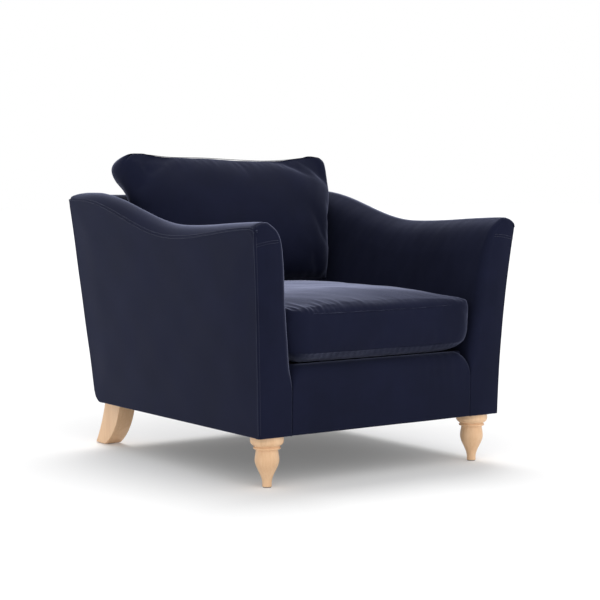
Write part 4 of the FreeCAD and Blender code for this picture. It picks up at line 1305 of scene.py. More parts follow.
        # the length: back to the outside back panel
        start_y = BODY.front_y(z) + radius
        end_y = BODY.back_y(np.minimum(z, BODY.seam_heights[2])) - 0.0015
        near = (0.003, 0.006, 0.010, 0.014, 0.019, 0.025, 0.032, 0.040)
        far = (0.0, 0.002, 0.004, 0.007, 0.011, 0.016, 0.022)
        y = start_y[:, None] + graded(near, 112, far, end_y - start_y)
        x, z = self.section(part, place, y)
        length = xyz(x, y, np.minimum(z, BODY.rear_limit_z(y)))
        return self.turned_under(np.concatenate([front, rim, length], axis=1), part, climb)

    def front_face(self, climb: Array, z: Array, rim_x: Array, rim_z: Array) -> Array:
        """The front, from the outside edge to where the inner rim starts to turn.

        Args:
            climb: Each row's place on the roll, 0 below it.
            z: Its height behind the rim.
            rim_x: x where the rim starts.
            rim_z: z where the rim starts.

        Returns:
            Rows by columns of drawn points.
        """
        cap = 0.4
        seam_top = float(BODY.seam_z(BODY.arm_front_y)) - 0.001
        dropped = z - self.cap_seam_drop * smooth_step(0.0, 0.8, climb)
        from_z = float(np.interp(cap, climb[climb > 0], dropped[climb > 0]))
        share = np.clip((climb - cap) / (self.seam_place - cap), 0.0, 1.0) ** 0.8
        outer_z = np.where(climb > cap, from_z + (seam_top - from_z) * share, np.minimum(dropped, from_z))
        outer_x = BODY.outer_x(BODY.front_y(outer_z), outer_z)
        width = np.maximum(outer_x - rim_x, 1e-4)[:, None]
        first = np.minimum(np.array([0.0, *EDGE_FADE]), 0.25 * width)
        start = first[:, -1:]
        steps = np.linspace(0.0, 1.0, self.front_steps + 1)[1:]
        across = np.concatenate([first, start + (width - start) * steps], axis=1)
        sunk = np.array([0.010, *rolled(np.array(EDGE_FADE), self.seam_roll), *np.zeros(self.front_steps)])
        ratio = across / width
        level = outer_z[:, None] + (rim_z - outer_z)[:, None] * ratio
        swell = self.front_swell * np.sin(math.pi * np.clip(ratio, 0, 1)) * smooth_step(0.0, 0.05, width)
        return xyz(outer_x[:, None] - across, BODY.front_y(level) + sunk - swell, level)

    def turned_under(self, points: Array, part: Array, climb: Array) -> Array:
        """Turn the hem and the outside seam's edge inwards.

        Args:
            points: The wrap's points.
            part: Each row's part.
            climb: Its place on the roll, 0 below it.

        Returns:
            The points with both edges turned in.
        """
        edge_steps = len(EDGE_FADE) + 1
        on_front = slice(0, edge_steps + self.front_steps)
        hem = np.maximum(points[:, :, 2] - BODY.hem_z, 0.0)
        depth = np.where(part[:, None] == FOOT, rolled(hem, self.hem_roll), 0.0)
        already = np.clip(points[:, :, 1] - BODY.front_y(points[:, :, 2]), 0.0, self.hem_roll)
        points[:, on_front, 1] += np.maximum(depth - already, 0.0)[:, on_front]
        points[0, on_front, 1] += self.hem_turn_in
        # the outside seam: the last rows sink under the panel's edge
        near_seam = np.maximum(self.seam_place - climb, 0.0) * self.seam_pitch
        sunk = np.where(part == ROLL, rolled(near_seam, self.seam_roll), 0.0)
        share = np.ones(points.shape[1])
        share[on_front] = [*np.zeros(edge_steps), *np.linspace(0.04, 1.0, self.front_steps)]
        share, inward = share[:, None] ** 2, (2.0 * share * (1.0 - share))[:, None]
        under = inward * np.array([0.0, 1.0, 0.0]) - share * np.array([0.8, 0.0, 0.6])
        points += np.abs(sunk)[:, None, None] * under
        points[-1] += self.seam_turn_in * under
        points[..., 2] = np.maximum(points[..., 2], BODY.hem_z)
        return points

    def away(self, points: Array) -> Array:
        """Outward normals of the left arm's points."""
        normals = surface_normals(points)
        return normals * np.sign(((points - np.array(self.inside_point)) * normals).sum(-1).mean())

    def softened(self, points: Array) -> Array:
        """Let the padding under the wrap show: slow swells, the sewn cap and the dart.

        Args:
            points: The wrap's points for the left arm.

        Returns:
            The moved points.
        """
        part, place = self.rows()
        climb = np.where(part == ROLL, place, 0.0)
        swell = 0.0007 * ripple(points, 0.13, 11) + 0.00035 * ripple(points, 0.045, 12)
        fade = smooth_step(0.0, 0.03, points[..., 2] - BODY.hem_z)
        calm = 0.75 * smooth_step(1.5, 3.2, climb) + 0.25 * smooth_step(3.4, 4.6, climb)
        fade = fade * (1.0 - calm)[:, None]
        fade = fade * smooth_step(-0.004, 0.02, BODY.outer_x(points[..., 1], points[..., 2]) - points[..., 0])
        low, high = self.cap_seams()
        seam = np.zeros(points.shape[:2])
        for path, height, width in (
            (low, -0.0004, 0.0020), (high, -0.0004, 0.0020), ((low + high) / 2, 0.0006, 0.0030),
            (self.dart_path(), -0.0015, 0.0022),
        ):
            seam += height * bell(path_distance(points, path), width)
        return points + self.away(points) * (swell * fade + seam)[..., None]

    def cap_seams(self) -> tuple[Array, Array]:
        """The two stitch lines across the front under the cap, for the left arm.

        Returns:
            The lower and the upper line.
        """
        share = np.linspace(0.0, 1.0, 40)
        lines = []
        for height in self.cap_seam_heights:
            outer_z = height - self.cap_seam_drop * 0.8
            outer_x = BODY.outer_x(BODY.front_y(outer_z), outer_z) - 0.001
            x = outer_x + (self.cap_seam_end_x - outer_x) * share
            z = outer_z + (height - outer_z) * (1 - (1 - share) ** 2)
            lines.append(xyz(x, BODY.front_y(z) - self.front_swell * np.sin(math.pi * share), z))
        return lines[0], lines[1]

    def dart_path(self) -> Array:
        """The dart between cap and wrap: from the outside corner over the crest and a little way inside.

        Returns:
            Its line for the left arm.
        """
        share = np.linspace(0.0, 1.0, 60)
        part, place = np.full(60, ROLL), 4.66 - 2.1 * share
        x, z = self.section(part, place, np.full((60, 1), BODY.front_y(0.69) + 0.012))
        crest = np.stack([x[:, 0], z[:, 0]], axis=1)
        back = 0.004 + 0.006 * np.sin(math.pi * np.clip(share * 1.4, 0, 1))
        back = back + 0.040 * smooth_step(0.55, 1.0, share)
        radius = self.edge_radius(part, place, crest[:, 1])
        inward = np.clip(radius - back, 0.0, None)
        drop = radius - np.sqrt(np.maximum(radius**2 - inward**2, 0.0))
        tangent = unit(np.gradient(crest, axis=0))
        normal = np.stack([tangent[:, 1], -tangent[:, 0]], axis=1)
        sunk = crest - np.sign(normal[:, 1:2]) * normal * drop[:, None]
        return xyz(sunk[:, 0], BODY.front_y(crest[:, 1]) + back, sunk[:, 1])

    def dart_line(self, name: str) -> Object:
        """The dart's sewn line, sunk in its crease.

        Args:
            name: The piece's name.

        Returns:
            The piece.
        """
        path = self.dart_path()
        share = np.linspace(0, 1, len(path))
        depth = 0.0012 + 0.0030 * (1 - smooth_step(0.0, 0.06, share)) + 0.0040 * smooth_step(0.8, 1.0, share)
        path = path - depth[:, None] * np.array([0.35, 0.0, 0.94])
        return self.bench.tube(name, self.handed(path), 0.0006, 6)

    # -- the outside panel --
    def panel_points(self) -> Array:
        """The flat outside panel with rolled edges and its raised double-stitched band.

        Returns:
            Rows by columns of drawn points for the left arm.
        """
        near = [*EDGE_FADE, 0.0045, 0.006, 0.008, 0.010, 0.0115, 0.0125, 0.0135, 0.015, 0.018, 0.023, 0.03]
        far = [*EDGE_FADE, 0.005, 0.008, 0.013, 0.020, 0.028, 0.038]
        middle_rows, middle_columns = 40, 84
        shape = (len(near) + middle_rows + len(far), len(near) + middle_columns + len(far))
        y = np.tile(np.linspace(0.0, 0.9, shape[1]), (shape[0], 1))
        for _ in range(6):
            hem = BODY.hem_z + rolled(BODY.depth - np.minimum(y[-1], BODY.depth), BODY.rear_hem_radius)
            top = BODY.seam_z(y[0])
            z = top[None, :] - graded(near, middle_rows, far, top - hem).T
            start, end = BODY.front_y(z[:, 0]), BODY.back_y(z[:, -1])
            y = start[:, None] + graded(near, middle_columns, far, end - start)
        ahead, rear = y - BODY.front_y(z), BODY.back_y(z) - y
        below, above = BODY.seam_z(y) - z, z - hem[None, :]
        points = xyz(BODY.outer_x(y, z), y, z)
        sunk = rolled(ahead, self.seam_roll) + rolled(below, self.seam_roll) + rolled(rear, self.rear_roll)
        sunk = np.hypot(sunk, rolled(above, self.hem_roll))
        edge, bend = np.minimum(ahead, below), 0.04
        turned = bend - np.hypot(bend - ahead, bend - below)
        corner = (ahead < bend) & (below < bend)
        edge = np.where(corner, np.minimum(edge, np.maximum(turned, 0.0)), edge)
        band = 0.0006 * (smooth_step(0.001, 0.003, edge) - smooth_step(0.0045, 0.0085, edge))
        band -= 0.0004 * bell(edge - self.panel_stitch, 0.0009)
        swell = 0.0022 * smooth_step(0.0, 0.12, np.minimum(np.minimum(ahead, rear), np.minimum(below, above)))
        swell += 0.00045 * ripple(points, 0.17, 21) * smooth_step(0.0, 0.04, np.minimum(below, above))
        points[..., 0] += swell + band - sunk
        under = points[-1:] - np.array([self.hem_turn_in, 0.0, 0.0])
        tuck = points[:1] - np.array([self.seam_turn_in, 0.0, 0.002])
        return np.concatenate([tuck, points, under], axis=0)

    # -- stitching --
    def panel_path(self) -> Array:
        """The stitch line along the outside panel's top and front edges.

        Returns:
            Drawn points for the left arm, from the back corner to the hem.
        """
        inset, turn = self.panel_stitch, self.stitch_turn
        end_y = BODY.back_y(BODY.seam_heights[2]) - 0.006
        corner_y = BODY.front_y(BODY.seam_z(BODY.arm_front_y)) + inset + turn
        y = np.linspace(end_y, corner_y, 180)
        top = np.stack([y, BODY.seam_z(y) - inset], axis=1)
        angle = np.radians(np.linspace(0.0, 90.0, 16))[1:-1]
        centre = np.array([corner_y, BODY.seam_z(corner_y) - inset - turn])
        bend = centre + turn * np.stack([-np.sin(angle), np.cos(angle)], axis=1)
        z = np.linspace(centre[1], BODY.hem_z + 0.006, 120)
        down = np.stack([BODY.front_y(z) + inset, z], axis=1)
        y, z = np.concatenate([top, bend, down]).T
        return xyz(BODY.outer_x(y, z) + 0.0008, y, z)

    def skin_paths(self, points: Array) -> list[tuple[Array, Array]]:
        """The twin of the panel's stitch line, on the wrap's side: along the top and down the front.

        Args:
            points: The wrap's points for the left arm.

        Returns:
            Drawn points for the left arm and the surface's normals there, for both runs.
        """
        part, place = self.rows()
        row = int(np.argmin(np.abs(np.where(part == ROLL, place, 0.0) - self.skin_stitch_place)))
        column = len(EDGE_FADE)
        normals = self.away(points)
        runs = []
        for spots in ((row, slice(None, column, -1)), (slice(row, None, -1), column)):
            line, away = points[spots], normals[spots]
            clear = np.linalg.norm(line - points[row, column], axis=1) > self.stitch_turn
            clear &= line[:, 2] > BODY.hem_z + 0.004
            runs.append((line[clear] + 0.0002 * away[clear], away[clear]))
        return runs

    def stitching(self, name: str, points: Array) -> Object:
        """All of the arm's visible stitches as one piece.

        Args:
            name: The piece's name.
            points: The wrap's points for the left arm.

        Returns:
            The piece.
        """
        path = self.panel_path()
        runs = [(path, np.tile([1.0, 0.0, -0.05], (len(path), 1))), *self.skin_paths(points)]
        for line in self.cap_seams():
            runs.append((line - np.array([0.0, 0.0002, 0.0]), np.tile([0.0, -1.0, 0.05], (len(line), 1))))
        thread = Stitching()
        parts = [thread.run(self.bench, "run", self.handed(line), self.handed(away)) for line, away in runs]
        return self.bench.joined(name, parts)


# ---- the rest of the body --------------------------------------------------------------------------
@dataclass
class FrontRail:
    """The padded front rail whose top rolls back under the seat cushion."""

    bench: Bench
    half_width: float = 0.3052
    lip_radius: float = 0.033
    top_z: float = 0.320
    end_radius: float = 0.043
    reach_back: float = 0.050
    turn_in: float = 0.016
    hem_roll: float = 0.004
    side_roll: float = 0.0026
    side_step: float = 0.0006
    pull_height: float = 0.0006
    pull_pitch: float = 0.034
    belly: float = 0.0015

    def points(self) -> Array:
        """Rows from the hem up over the lip, columns across the rail.

        Returns:
            Drawn points.
        """
        inner = self.half_width - self.end_radius
        ends = inner + self.end_radius * np.sin(np.radians(np.linspace(0.0, 88.0, 22))[1:])
        x = np.concatenate([-ends[::-1], np.linspace(-inner, inner, 90), ends])
        beyond = np.clip(np.abs(x) - inner, 0.0, self.end_radius * 0.9995)
        top = self.top_z - (self.end_radius - np.sqrt(self.end_radius**2 - beyond**2))
        lip_y = BODY.front_y(top - self.lip_radius)
        first_z = BODY.hem_z + self.hem_roll
        rows = [(BODY.front_y(BODY.hem_z) + self.turn_in, BODY.hem_z)]
        for rise in (0.0, 0.0004, 0.0012, 0.0024, self.hem_roll):
            z = BODY.hem_z + rise
            rows.append((BODY.front_y(z) + rolled(rise, self.hem_roll), z))
        for share in np.linspace(0.03, 1.0, 34):
            z = first_z + (top - self.lip_radius - first_z) * share
            rows.append((BODY.front_y(z), z))
        for turn in np.radians(np.linspace(0.0, 90.0, 15))[1:]:
            ahead, below = 1 - np.cos(turn), 1 - np.sin(turn)
            rows.append((lip_y + self.lip_radius * ahead, top - self.lip_radius * below))
        for share in np.linspace(0.2, 1.0, 5):
            y = lip_y + self.lip_radius + (self.reach_back - self.lip_radius) * share
            rows.append((y, top + (self.top_z - 0.0008 - top) * smooth_step(0.0, 1.0, share)))
        rows.append((rows[-1][0], rows[-1][1] - 0.010))
        points = np.stack([xyz(x, y, z) for y, z in rows])
        step = np.array([self.side_step, 0.0, 0.0])
        ends = [points[:, :1] - step, points[:, -1:] + step]
        for end in ends:
            end[..., 1] = np.maximum(end[..., 1], self.reach_back)
        return np.concatenate([ends[0], points, ends[1]], axis=1)

    def build(self) -> list[Object]:
        """Make and dress the rail's cover.

        Returns:
            The pieces.
        """
        points = self.points()
        x, z = points[..., 0], points[..., 2]
        edge = self.half_width - np.abs(x)
        up = smooth_step(BODY.hem_z + 0.02, self.top_z, z)
        pulls = np.sin(x * 2 * math.pi / self.pull_pitch + 4.0 * z + 2.0 * ripple(points, 0.2, 31))
        height = self.pull_height * pulls * up * smooth_step(0.02, 0.20, x)
        height = height + 0.0006 * ripple(points, 0.12, 32)
        height = height + self.belly * np.sin(math.pi * np.clip(edge / self.half_width, 0, 1))
        points[..., 1] += rolled(edge, self.side_roll) - height * smooth_step(0.0, 0.02, edge)
        piece = self.bench.skin("front_rail_wrap", points, (0.0, 0.2, 0.2), 0.003)
        return [finished(piece, RAIL_VELVET, "front_rail_cover", fill=0.8)]


@dataclass
class Back:
    """The outside back panel, the border over the back and the inside back pad."""

    bench: Bench
    skin: float = 0.003
    pad_fill: float = 0.8
    seam_roll: float = 0.0026
    edge_roll: float = 0.0012
    hem_turn_in: float = 0.016
    outside_swell: float = 0.004
    outside_gap: float = 0.0006
    border_crown: tuple[float, float] = (0.7550, 0.0010)
    border_half: float = 0.391
    border_front_z: float = 0.700
    inside_half: tuple[float, float] = (0.3055, 0.354)
    inside_top_z: float = 0.712
    stitch_drop: float = 0.010

    def build(self) -> list[Object]:
        """Make and dress the back's pieces.

        Returns:
            The pieces.
        """
        outside = finished(self.outside(), VELVET, "outside_back_panel", fill=self.pad_fill)
        border = finished(self.border(), VELVET, "back_top_border", fill=self.pad_fill)
        inside = finished(self.inside(), PLATFORM, "inside_back_pad", fill=self.pad_fill)
        stitches = Stitching().run(self.bench, "back_stitching", *self.stitch_path())
        return [outside, border, inside, PIPED_VELVET.dress(stitches)]

    def outside(self) -> Object:
        """The outside back, from the border seam to the rounded hem.

        Returns:
            The piece.
        """
        side = [*EDGE_FADE, 0.006, 0.010, 0.016, 0.024]
        upper = [*EDGE_FADE, 0.006, 0.0090, 0.0125, 0.018, 0.026]
        top_z = BODY.seam_heights[2] - 0.001
        z = top_z - graded(upper, 60, EDGE_FADE, np.array([top_z - BODY.hem_z]))[0]
        y = BODY.back_y(z) - rolled(np.maximum(z - BODY.hem_z, 0.0), BODY.rear_hem_radius)
        wide = BODY.outer_x(BODY.back_y(z), z) - self.outside_gap
        x = -wide[:, None] + graded(side, 80, side, 2 * wide)
        points = xyz(x, y[:, None], z[:, None])
        edge, top, low = wide[:, None] - np.abs(x), (top_z - z)[:, None], (z - BODY.hem_z)[:, None]
        inner = smooth_step(0.0, 0.12, np.minimum(edge, np.minimum(top, low)))
        points[..., 1] += self.outside_swell * inner + 0.0006 * ripple(points, 0.16, 41) * inner
        points[..., 1] -= rolled(edge, self.edge_roll) + rolled(top, self.seam_roll)
        under = points[-1:] - np.array([0.0, self.hem_turn_in, 0.0])
        tuck = points[:1] + np.array([0.0, -0.0075, 0.0085])
        tuck_half = wide[0] - 0.011
        tuck[..., 0] = np.clip(tuck[..., 0], -tuck_half, tuck_half)
        points = np.concatenate([tuck, points, under])
        return self.bench.skin("outside_back", points, (0.0, 0.6, 0.4), self.skin)

    def border(self) -> Object:
        """The strip over the top of the back, between the arms.

        Returns:
            The piece.
        """
        x = np.linspace(-self.border_half, self.border_half, 90)
        crown = self.border_crown[0] + self.border_crown[1] * np.abs(x / self.border_half) ** 3
        front_z, rear_z = self.border_front_z, BODY.seam_heights[2] - 0.002
        front_y, rear_y = BODY.inside_back_y(front_z), BODY.back_y(rear_z)
        lip_y = BODY.inside_back_y(crown - 0.020)
        knots = (
            (front_y - 0.012, front_z - 0.045),
            (front_y, front_z),
            (lip_y + 0.001, crown - 0.020),
            (lip_y + 0.022, crown - 0.003),
            (rear_y - 0.040, crown),
            (rear_y - 0.010, crown - 0.0035),
            (rear_y - 0.0005, rear_z),
            (rear_y + 0.001, rear_z - 0.012),
        )
        path = [xyz(x, *knot) for knot in knots]
        places = [*np.linspace(0.0, 4.7, 40), *np.linspace(4.75, 5.0, 6)]
        points = np.stack([spline_through(path, np.full(len(x), place)) for place in places])
        points[..., 2] += 0.0006 * ripple(points, 0.11, 42)
        points = np.concatenate([points, points[-1:] - np.array([0.0, 0.006, 0.002])])
        return self.bench.skin("back_border", points, (0.0, 0.93, 0.70), self.skin)

    def inside(self) -> Object:
        """The padded inside back behind the loose cushion, in platform cloth.

        Returns:
            The piece.
        """
        z = np.linspace(BODY.deck_z - 0.004, self.inside_top_z, 60)
        up = (z - z[0]) / (z[-1] - z[0])
        half = self.inside_half[0] + (self.inside_half[1] - self.inside_half[0]) * up
        share = np.linspace(-1.0, 1.0, 80)
        points = xyz(half[:, None] * share, BODY.inside_back_y(z)[:, None], z[:, None])
        swell = 0.004 * np.sin(math.pi * up)[:, None] ** 0.5 * (1 - share**4)
        points[..., 1] += 0.0050 - swell + 0.0005 * ripple(points, 0.09, 43)
        return self.bench.skin("inside_back", points, (0.0, 0.95, 0.5), 0.004)

    def stitch_path(self) -> tuple[Array, Array]:
        """The stitch line under the outside back's top seam, with the surface's normals.

        Returns:
            The line and its normals.
        """
        z = BODY.seam_heights[2] - self.stitch_drop
        wide = BODY.outer_x(BODY.back_y(z), z) - 0.008
        path = xyz(np.linspace(wide, -wide, 200), BODY.back_y(z) + 0.0006, z)
        return path, np.tile([0.0, 1.0, 0.0], (200, 1))


@dataclass
class Deck:
    """The platform under the seat cushion and the dust cover under the chair."""

    bench: Bench
    half_width: float = 0.3035
    front_y: float = 0.046
    rear_y: float = 0.764
    sag: float = 0.0013
    dust_z: float = 0.1385
    dust_half: float = 0.396
    dust_front: float = 0.014
    dust_rear: float = 0.866
    dust_sag: float = 0.0012

    def build(self) -> list[Object]:
        """Make and dress the platform cloth and the dust cover.

        Returns:
            The pieces.
        """
        platform = finished(self.platform(), PLATFORM, "deck_cloth")
        dust = finished(self.dust_cover(), DUST_CLOTH, "dust_cover")
        return [platform, dust]

    def platform(self) -> Object:
        """The cloth over the springs and foam, a little slack.

        Returns:
            The piece.
        """
        x, y = np.meshgrid(np.linspace(-1, 1, 90), np.linspace(0, 1, 100))
        slack = (1 - np.abs(x) ** 3) * np.sin(math.pi * y) ** 0.6
        along = self.front_y + (self.rear_y - self.front_y) * y
        points = xyz(x * self.half_width, along, BODY.deck_z - 0.0004 - self.sag * slack)
        points[..., 2] += 0.0003 * ripple(points, 0.10, 51) * slack - 0.0003
        return self.bench.skin("platform", points, (0.0, 0.4, 0.0), 0.0012)

    def dust_cover(self) -> Object:
        """The spun cloth stapled under the frame, sagging between its edges.

        Returns:
            The piece.
        """
        x, y = np.meshgrid(np.linspace(-1, 1, 80), np.linspace(0, 1, 80))
        slack = np.sin(math.pi * (x + 1) / 2) ** 0.7 * np.sin(math.pi * y) ** 0.7
        along = self.dust_front + (self.dust_rear - self.dust_front) * y
        points = xyz(x * self.dust_half, along, self.dust_z - 0.0006 - self.dust_sag * slack)
        points[..., 2] += 0.0005 * ripple(points, 0.09, 52) * slack
        return self.bench.skin("dust_sheet", points, (0.0, 0.4, 0.4), 0.0008)


# ---- the loose cushions ----------------------------------------------------------------------------
@dataclass(frozen=True)
class Fold:
    """A ridge or crease in cloth: where it runs, how wide and how high it is."""

    path: Array
    width: float
    height: float
    taper: float = 0.7

    def lift(self, points: Array) -> Array:
        """Height of the fold at each point.

        Args:
            points: Points, the last axis being x, y and z.

        Returns:
            Heights.
        """
        reach = 4 * self.width
        near = ((points > self.path.min(0) - reach) & (points < self.path.max(0) + reach)).all(-1)
        total = np.zeros(points.shape[:-1])
        if not near.any():
            return total
        chosen, length = points[near], path_length(self.path)
        best, place = np.full(len(chosen), np.inf), np.zeros(len(chosen))
        for k, (start, end) in enumerate(zip(self.path[:-1], self.path[1:])):
            along, gap = segment_gap(chosen, start, end)
            here = (length[k] + along * (length[k + 1] - length[k])) / length[-1]
            place = np.where(gap < best, here, place)
            best = np.minimum(best, gap)
        wide = self.width * (0.65 + 0.7 * place)
        fade = smooth_step(0.0, 0.06, place) * (1 - smooth_step(1 - self.taper, 1.0, place))
        total[near] = self.height * fade * (bell(best, wide) - 0.35 * bell(best, 2.2 * wide))
        return total


@dataclass
class Cushion:
    """What both loose cushions share: filling them out and finishing their cloth."""

    bench: Bench
    pressure: float = 4.0
    crumple: float = 0.3
    seam_reach: float = 2e-4

    def filled(self, piece: Object, held: Array, travel: Array) -> Array:
        """Fill a cushion's case with cloth physics and keep how far each point moved within a limit.

        Args:
            piece: The sewn case.
            held: Which points are held still.
            travel: How far each point may move.

        Returns:
            The drawn points after filling.
        """
        start = self.bench.drawn(piece)
        group = piece.vertex_groups.new(name="held")
        group.add(np.nonzero(held)[0].tolist(), 1.0, "REPLACE")
        self.bench.focus(piece)
        cloth = piece.modifiers.new("Cloth", "CLOTH")
        settings = cloth.settings
        settings.quality = 6
        settings.mass = 0.25
        settings.tension_stiffness = settings.compression_stiffness = 12.0
        settings.shear_stiffness = 6.0
        settings.bending_stiffness = 0.4
        settings.use_pressure = True
        settings.uniform_pressure_force = self.pressure
        settings.shrink_min = -0.04
        settings.effector_weights.gravity = 0.0
        settings.vertex_group_mass = "held"
        cloth.collision_settings.use_collision = False
        cloth.point_cache.frame_start, cloth.point_cache.frame_end = 1, 20
        scene = bpy.context.scene
        for frame_number in range(1, 21):
            scene.frame_set(frame_number)
        bpy.ops.object.modifier_apply(modifier=cloth.name)
        scene.frame_set(1)
        piece.vertex_groups.clear()
        moved = self.calmed(piece, self.bench.drawn(piece) - start)
        far = np.linalg.norm(moved, axis=1)
        LOG.info("%s filled: moved %.1f mm at most", piece.name, 1000 * far.max())
        scale = travel * np.tanh(far / np.maximum(travel, 1e-9)) / np.maximum(far, 1e-9)
        return start + moved * np.where(far > 0, scale, 0.0)[:, None]

    @staticmethod
    def edge_ends(piece: Object) -> Array:
        """Both end points of every edge, one row an edge."""
        return np.array([tuple(edge.vertices) for edge in piece.data.edges])

    def calmed(self, piece: Object, moved: Array) -> Array:
        """Soften a movement between neighbouring points, keeping a share of the finest wrinkles.

        Args:
            piece: The piece.
            moved: How far each point moved.

        Returns:
            The softened movement.
        """
        ends = self.edge_ends(piece)
        first, second = ends.T
        count = np.bincount(ends.ravel(), minlength=len(moved))[:, None]
        soft = moved.copy()
        for _ in range(8):
            total = np.zeros_like(soft)
            np.add.at(total, first, soft[second])
            np.add.at(total, second, soft[first])
            soft = 0.4 * soft + 0.6 * total / np.maximum(count, 1)
        return soft + self.crumple * (moved - soft)

    def rounded(self, piece: Object, seams: Sequence[Array]) -> None:
        """Subdivide the case once, keeping its seams sharp.

        Args:
            piece: The piece.
            seams: Which points lie on each seam.
        """
        ends = self.edge_ends(piece)
        crease = np.zeros(len(ends), np.float32)
        for seam in seams:
            crease[seam[ends[:, 0]] & seam[ends[:, 1]]] = 1.0
        layers = piece.data.attributes
        layer = layers.get("crease_edge") or layers.new("crease_edge", "FLOAT", "EDGE")
        layer.data.foreach_set("value", crease)
        self.bench.applied(piece, "SUBSURF", levels=1, render_levels=1)

    def relieved(self, piece: Object, lift: Callable[[Array], Array]) -> Array:
        """Move each point along its normal.

        Args:
            piece: The piece.
            lift: Height from drawn points.

        Returns:
            The moved drawn points.
        """
        drawn = self.bench.drawn(piece)
        self.bench.redraw(piece, drawn + self.bench.raw_normals(piece) * lift(drawn)[:, None])
        return self.bench.drawn(piece)


@dataclass
class SeatCushion(Cushion):
    """The box seat cushion: top and bottom panels sewn to a border."""

    front_y: float = -0.006
    rear_y: float = 0.750
    side_gap: float = 0.003
    bottom_seam_z: float = 0.350
    top_seam_z: float = 0.4535
    crown_z: float = 0.5015
    underside_z: float = 0.3206
    tuck: float = 0.064
    belly: float = 1.6
    corner_radius: float = 0.064
    border_bulge: float = 0.0055
    roll_depth: float = 0.022
    roll_share: float = 0.46
    dome_depth: float = 0.26
    half_depth: float = 0.378
    top_half_width: float = 0.328
    low_half_width: float = 0.309
    seam_seeds: tuple[int, int] = (61, 62)
    core_profile: Knots = (
        (1.0, 0.3440), (0.060, 0.3435), (0.034, 0.3450), (0.026, 0.3520), (0.022, 0.3700), (0.020, 0.4300),
        (0.026, 0.4460), (0.040, 0.4560), (0.070, 0.4640), (1.0, 0.4700),
    )
    cells: tuple[int, int] = (72, 84)
    border_rows: int = 13

    @property
    def rise(self) -> float:
        """How far the top stands above its seam before filling."""
        return 0.95 * (self.crown_z - self.top_seam_z)

    def plan_point(self, u: Array, v: Array, z: Array) -> Array:
        """Place a square grid's point in the rounded plan.

        Args:
            u: Place across, -1 to 1.
            v: Place along, -1 to 1.
            z: Height.

        Returns:
            Drawn points.
        """
        radius = self.corner_radius
        half_x = BODY.inner_x(z) - self.side_gap + 0 * u
        half_y = (self.rear_y - self.front_y) / 2
        x, y = u * half_x, v * half_y
        p = np.clip((np.abs(x) - (half_x - radius)) / radius, 0.0, 1.0)
        q = np.clip((np.abs(y) - (half_y - radius)) / radius, 0.0, 1.0)
        corner = (p > 0) & (q > 0)
        x = np.where(corner, np.sign(x) * (half_x - radius * (1 - p * np.sqrt(1 - q * q / 2))), x)
        y = np.where(corner, np.sign(y) * (half_y - radius * (1 - q * np.sqrt(1 - p * p / 2))), y)
        return xyz(x, y + (self.front_y + self.rear_y) / 2, z)

    def seam_wave(self, points: Array, seed: int) -> Array:
        """How far a seam wanders up and down, a little higher at the front corners."""
        lift = 0.005 * (points[..., 0] / 0.32) ** 4 * (1 - smooth_step(0.0, 0.10, points[..., 1]))
        return lift + 0.0009 * ripple(points * np.array([1.0, 1.0, 0.0]), 0.12, seed)

    def stations(self) -> tuple[Array, Array]:
        """Grid places across and along, closer together near the seams."""
        turn = 0.4 * math.pi
        return tuple(np.sin(np.linspace(-turn, turn, count + 1)) / math.sin(turn) for count in self.cells)

    def swell(self, inside: Array) -> Array:
        """Share of the crown's height at a distance inside a seam: a tight roll and a slow dome.

        Args:
            inside: The distance.

        Returns:
            The share.
        """
        roll = 1 - np.clip(inside / self.roll_depth, 0, 1)
        slow = 1 - np.clip(inside / self.dome_depth, 0, 1)
        return self.roll_share * np.sqrt(1 - roll**2) + (1 - self.roll_share) * (1 - slow**2)

    def case(self) -> Object:
        """The sewn case before filling.

        Returns:
            The piece.
        """
        u, v = np.meshgrid(*self.stations())
        top_seed, low_seed = self.seam_seeds
        top = self.plan_point(u, v, np.full(u.shape, self.top_seam_z))
        from_side, from_end = 1 - np.abs(u), 1 - np.abs(v)
        dome = self.swell(from_side * self.top_half_width) * self.swell(from_end * self.half_depth)
        top[..., 2] += self.seam_wave(top, top_seed) + self.rise * dome
        low = self.plan_point(u, v, np.full(u.shape, self.bottom_seam_z))
        low[..., 2] += self.seam_wave(low, low_seed)
        inset = np.minimum(from_side * self.low_half_width, from_end * self.half_depth)
        inset = inset * (1 - 0.35 * (u * v) ** 4)
        low[..., 2] -= (low[..., 2] - self.underside_z) * self.tucked(inset)
        rim = self.rim_places()
        share = np.linspace(0.0, 1.0, self.border_rows + 1)[:, None]
        z = self.bottom_seam_z + (self.top_seam_z - self.bottom_seam_z) * share + np.zeros(len(rim))
        border = self.plan_point(rim[:, 0], rim[:, 1], z)
        foot, high = self.ring_at(self.bottom_seam_z), self.ring_at(self.top_seam_z)
        low_wave, top_wave = self.seam_wave(foot, low_seed), self.seam_wave(high, top_seed)
        border[..., 2] += low_wave * (1 - share) + top_wave * share
        off_rear = 1 - smooth_step(0.93, 0.99, rim[:, 1])
        bulge = self.border_bulge * (4 * share * (1 - share)) ** 0.7 * off_rear
        border[..., :2] += bulge[..., None] * self.rim_away()
        sheets = {"seat_top": top, "seat_low": low, "seat_border": border}
        parts = [self.bench.panel(name, points) for name, points in sheets.items()]
        return self.bench.merged(self.bench.joined("seat_cushion_case", parts), self.bench.sewn)

    def tucked(self, inset: Array) -> Array:
        """Share of the fall to the underside at a distance inside the bottom seam."""
        return 1 - (1 - np.clip(inset / self.tuck, 0, 1)) ** self.belly

    def rim_places(self) -> Array:
        """Grid places round the rim, coming back to the start."""
        ring = grid_rim(*self.stations())
        return np.concatenate([ring, ring[:1]])

    def ring_at(self, z: float) -> Array:
        """The plan's rim at a height, coming back to the start."""
        rim = self.rim_places()
        return self.plan_point(*rim.T, np.full(len(rim), z))

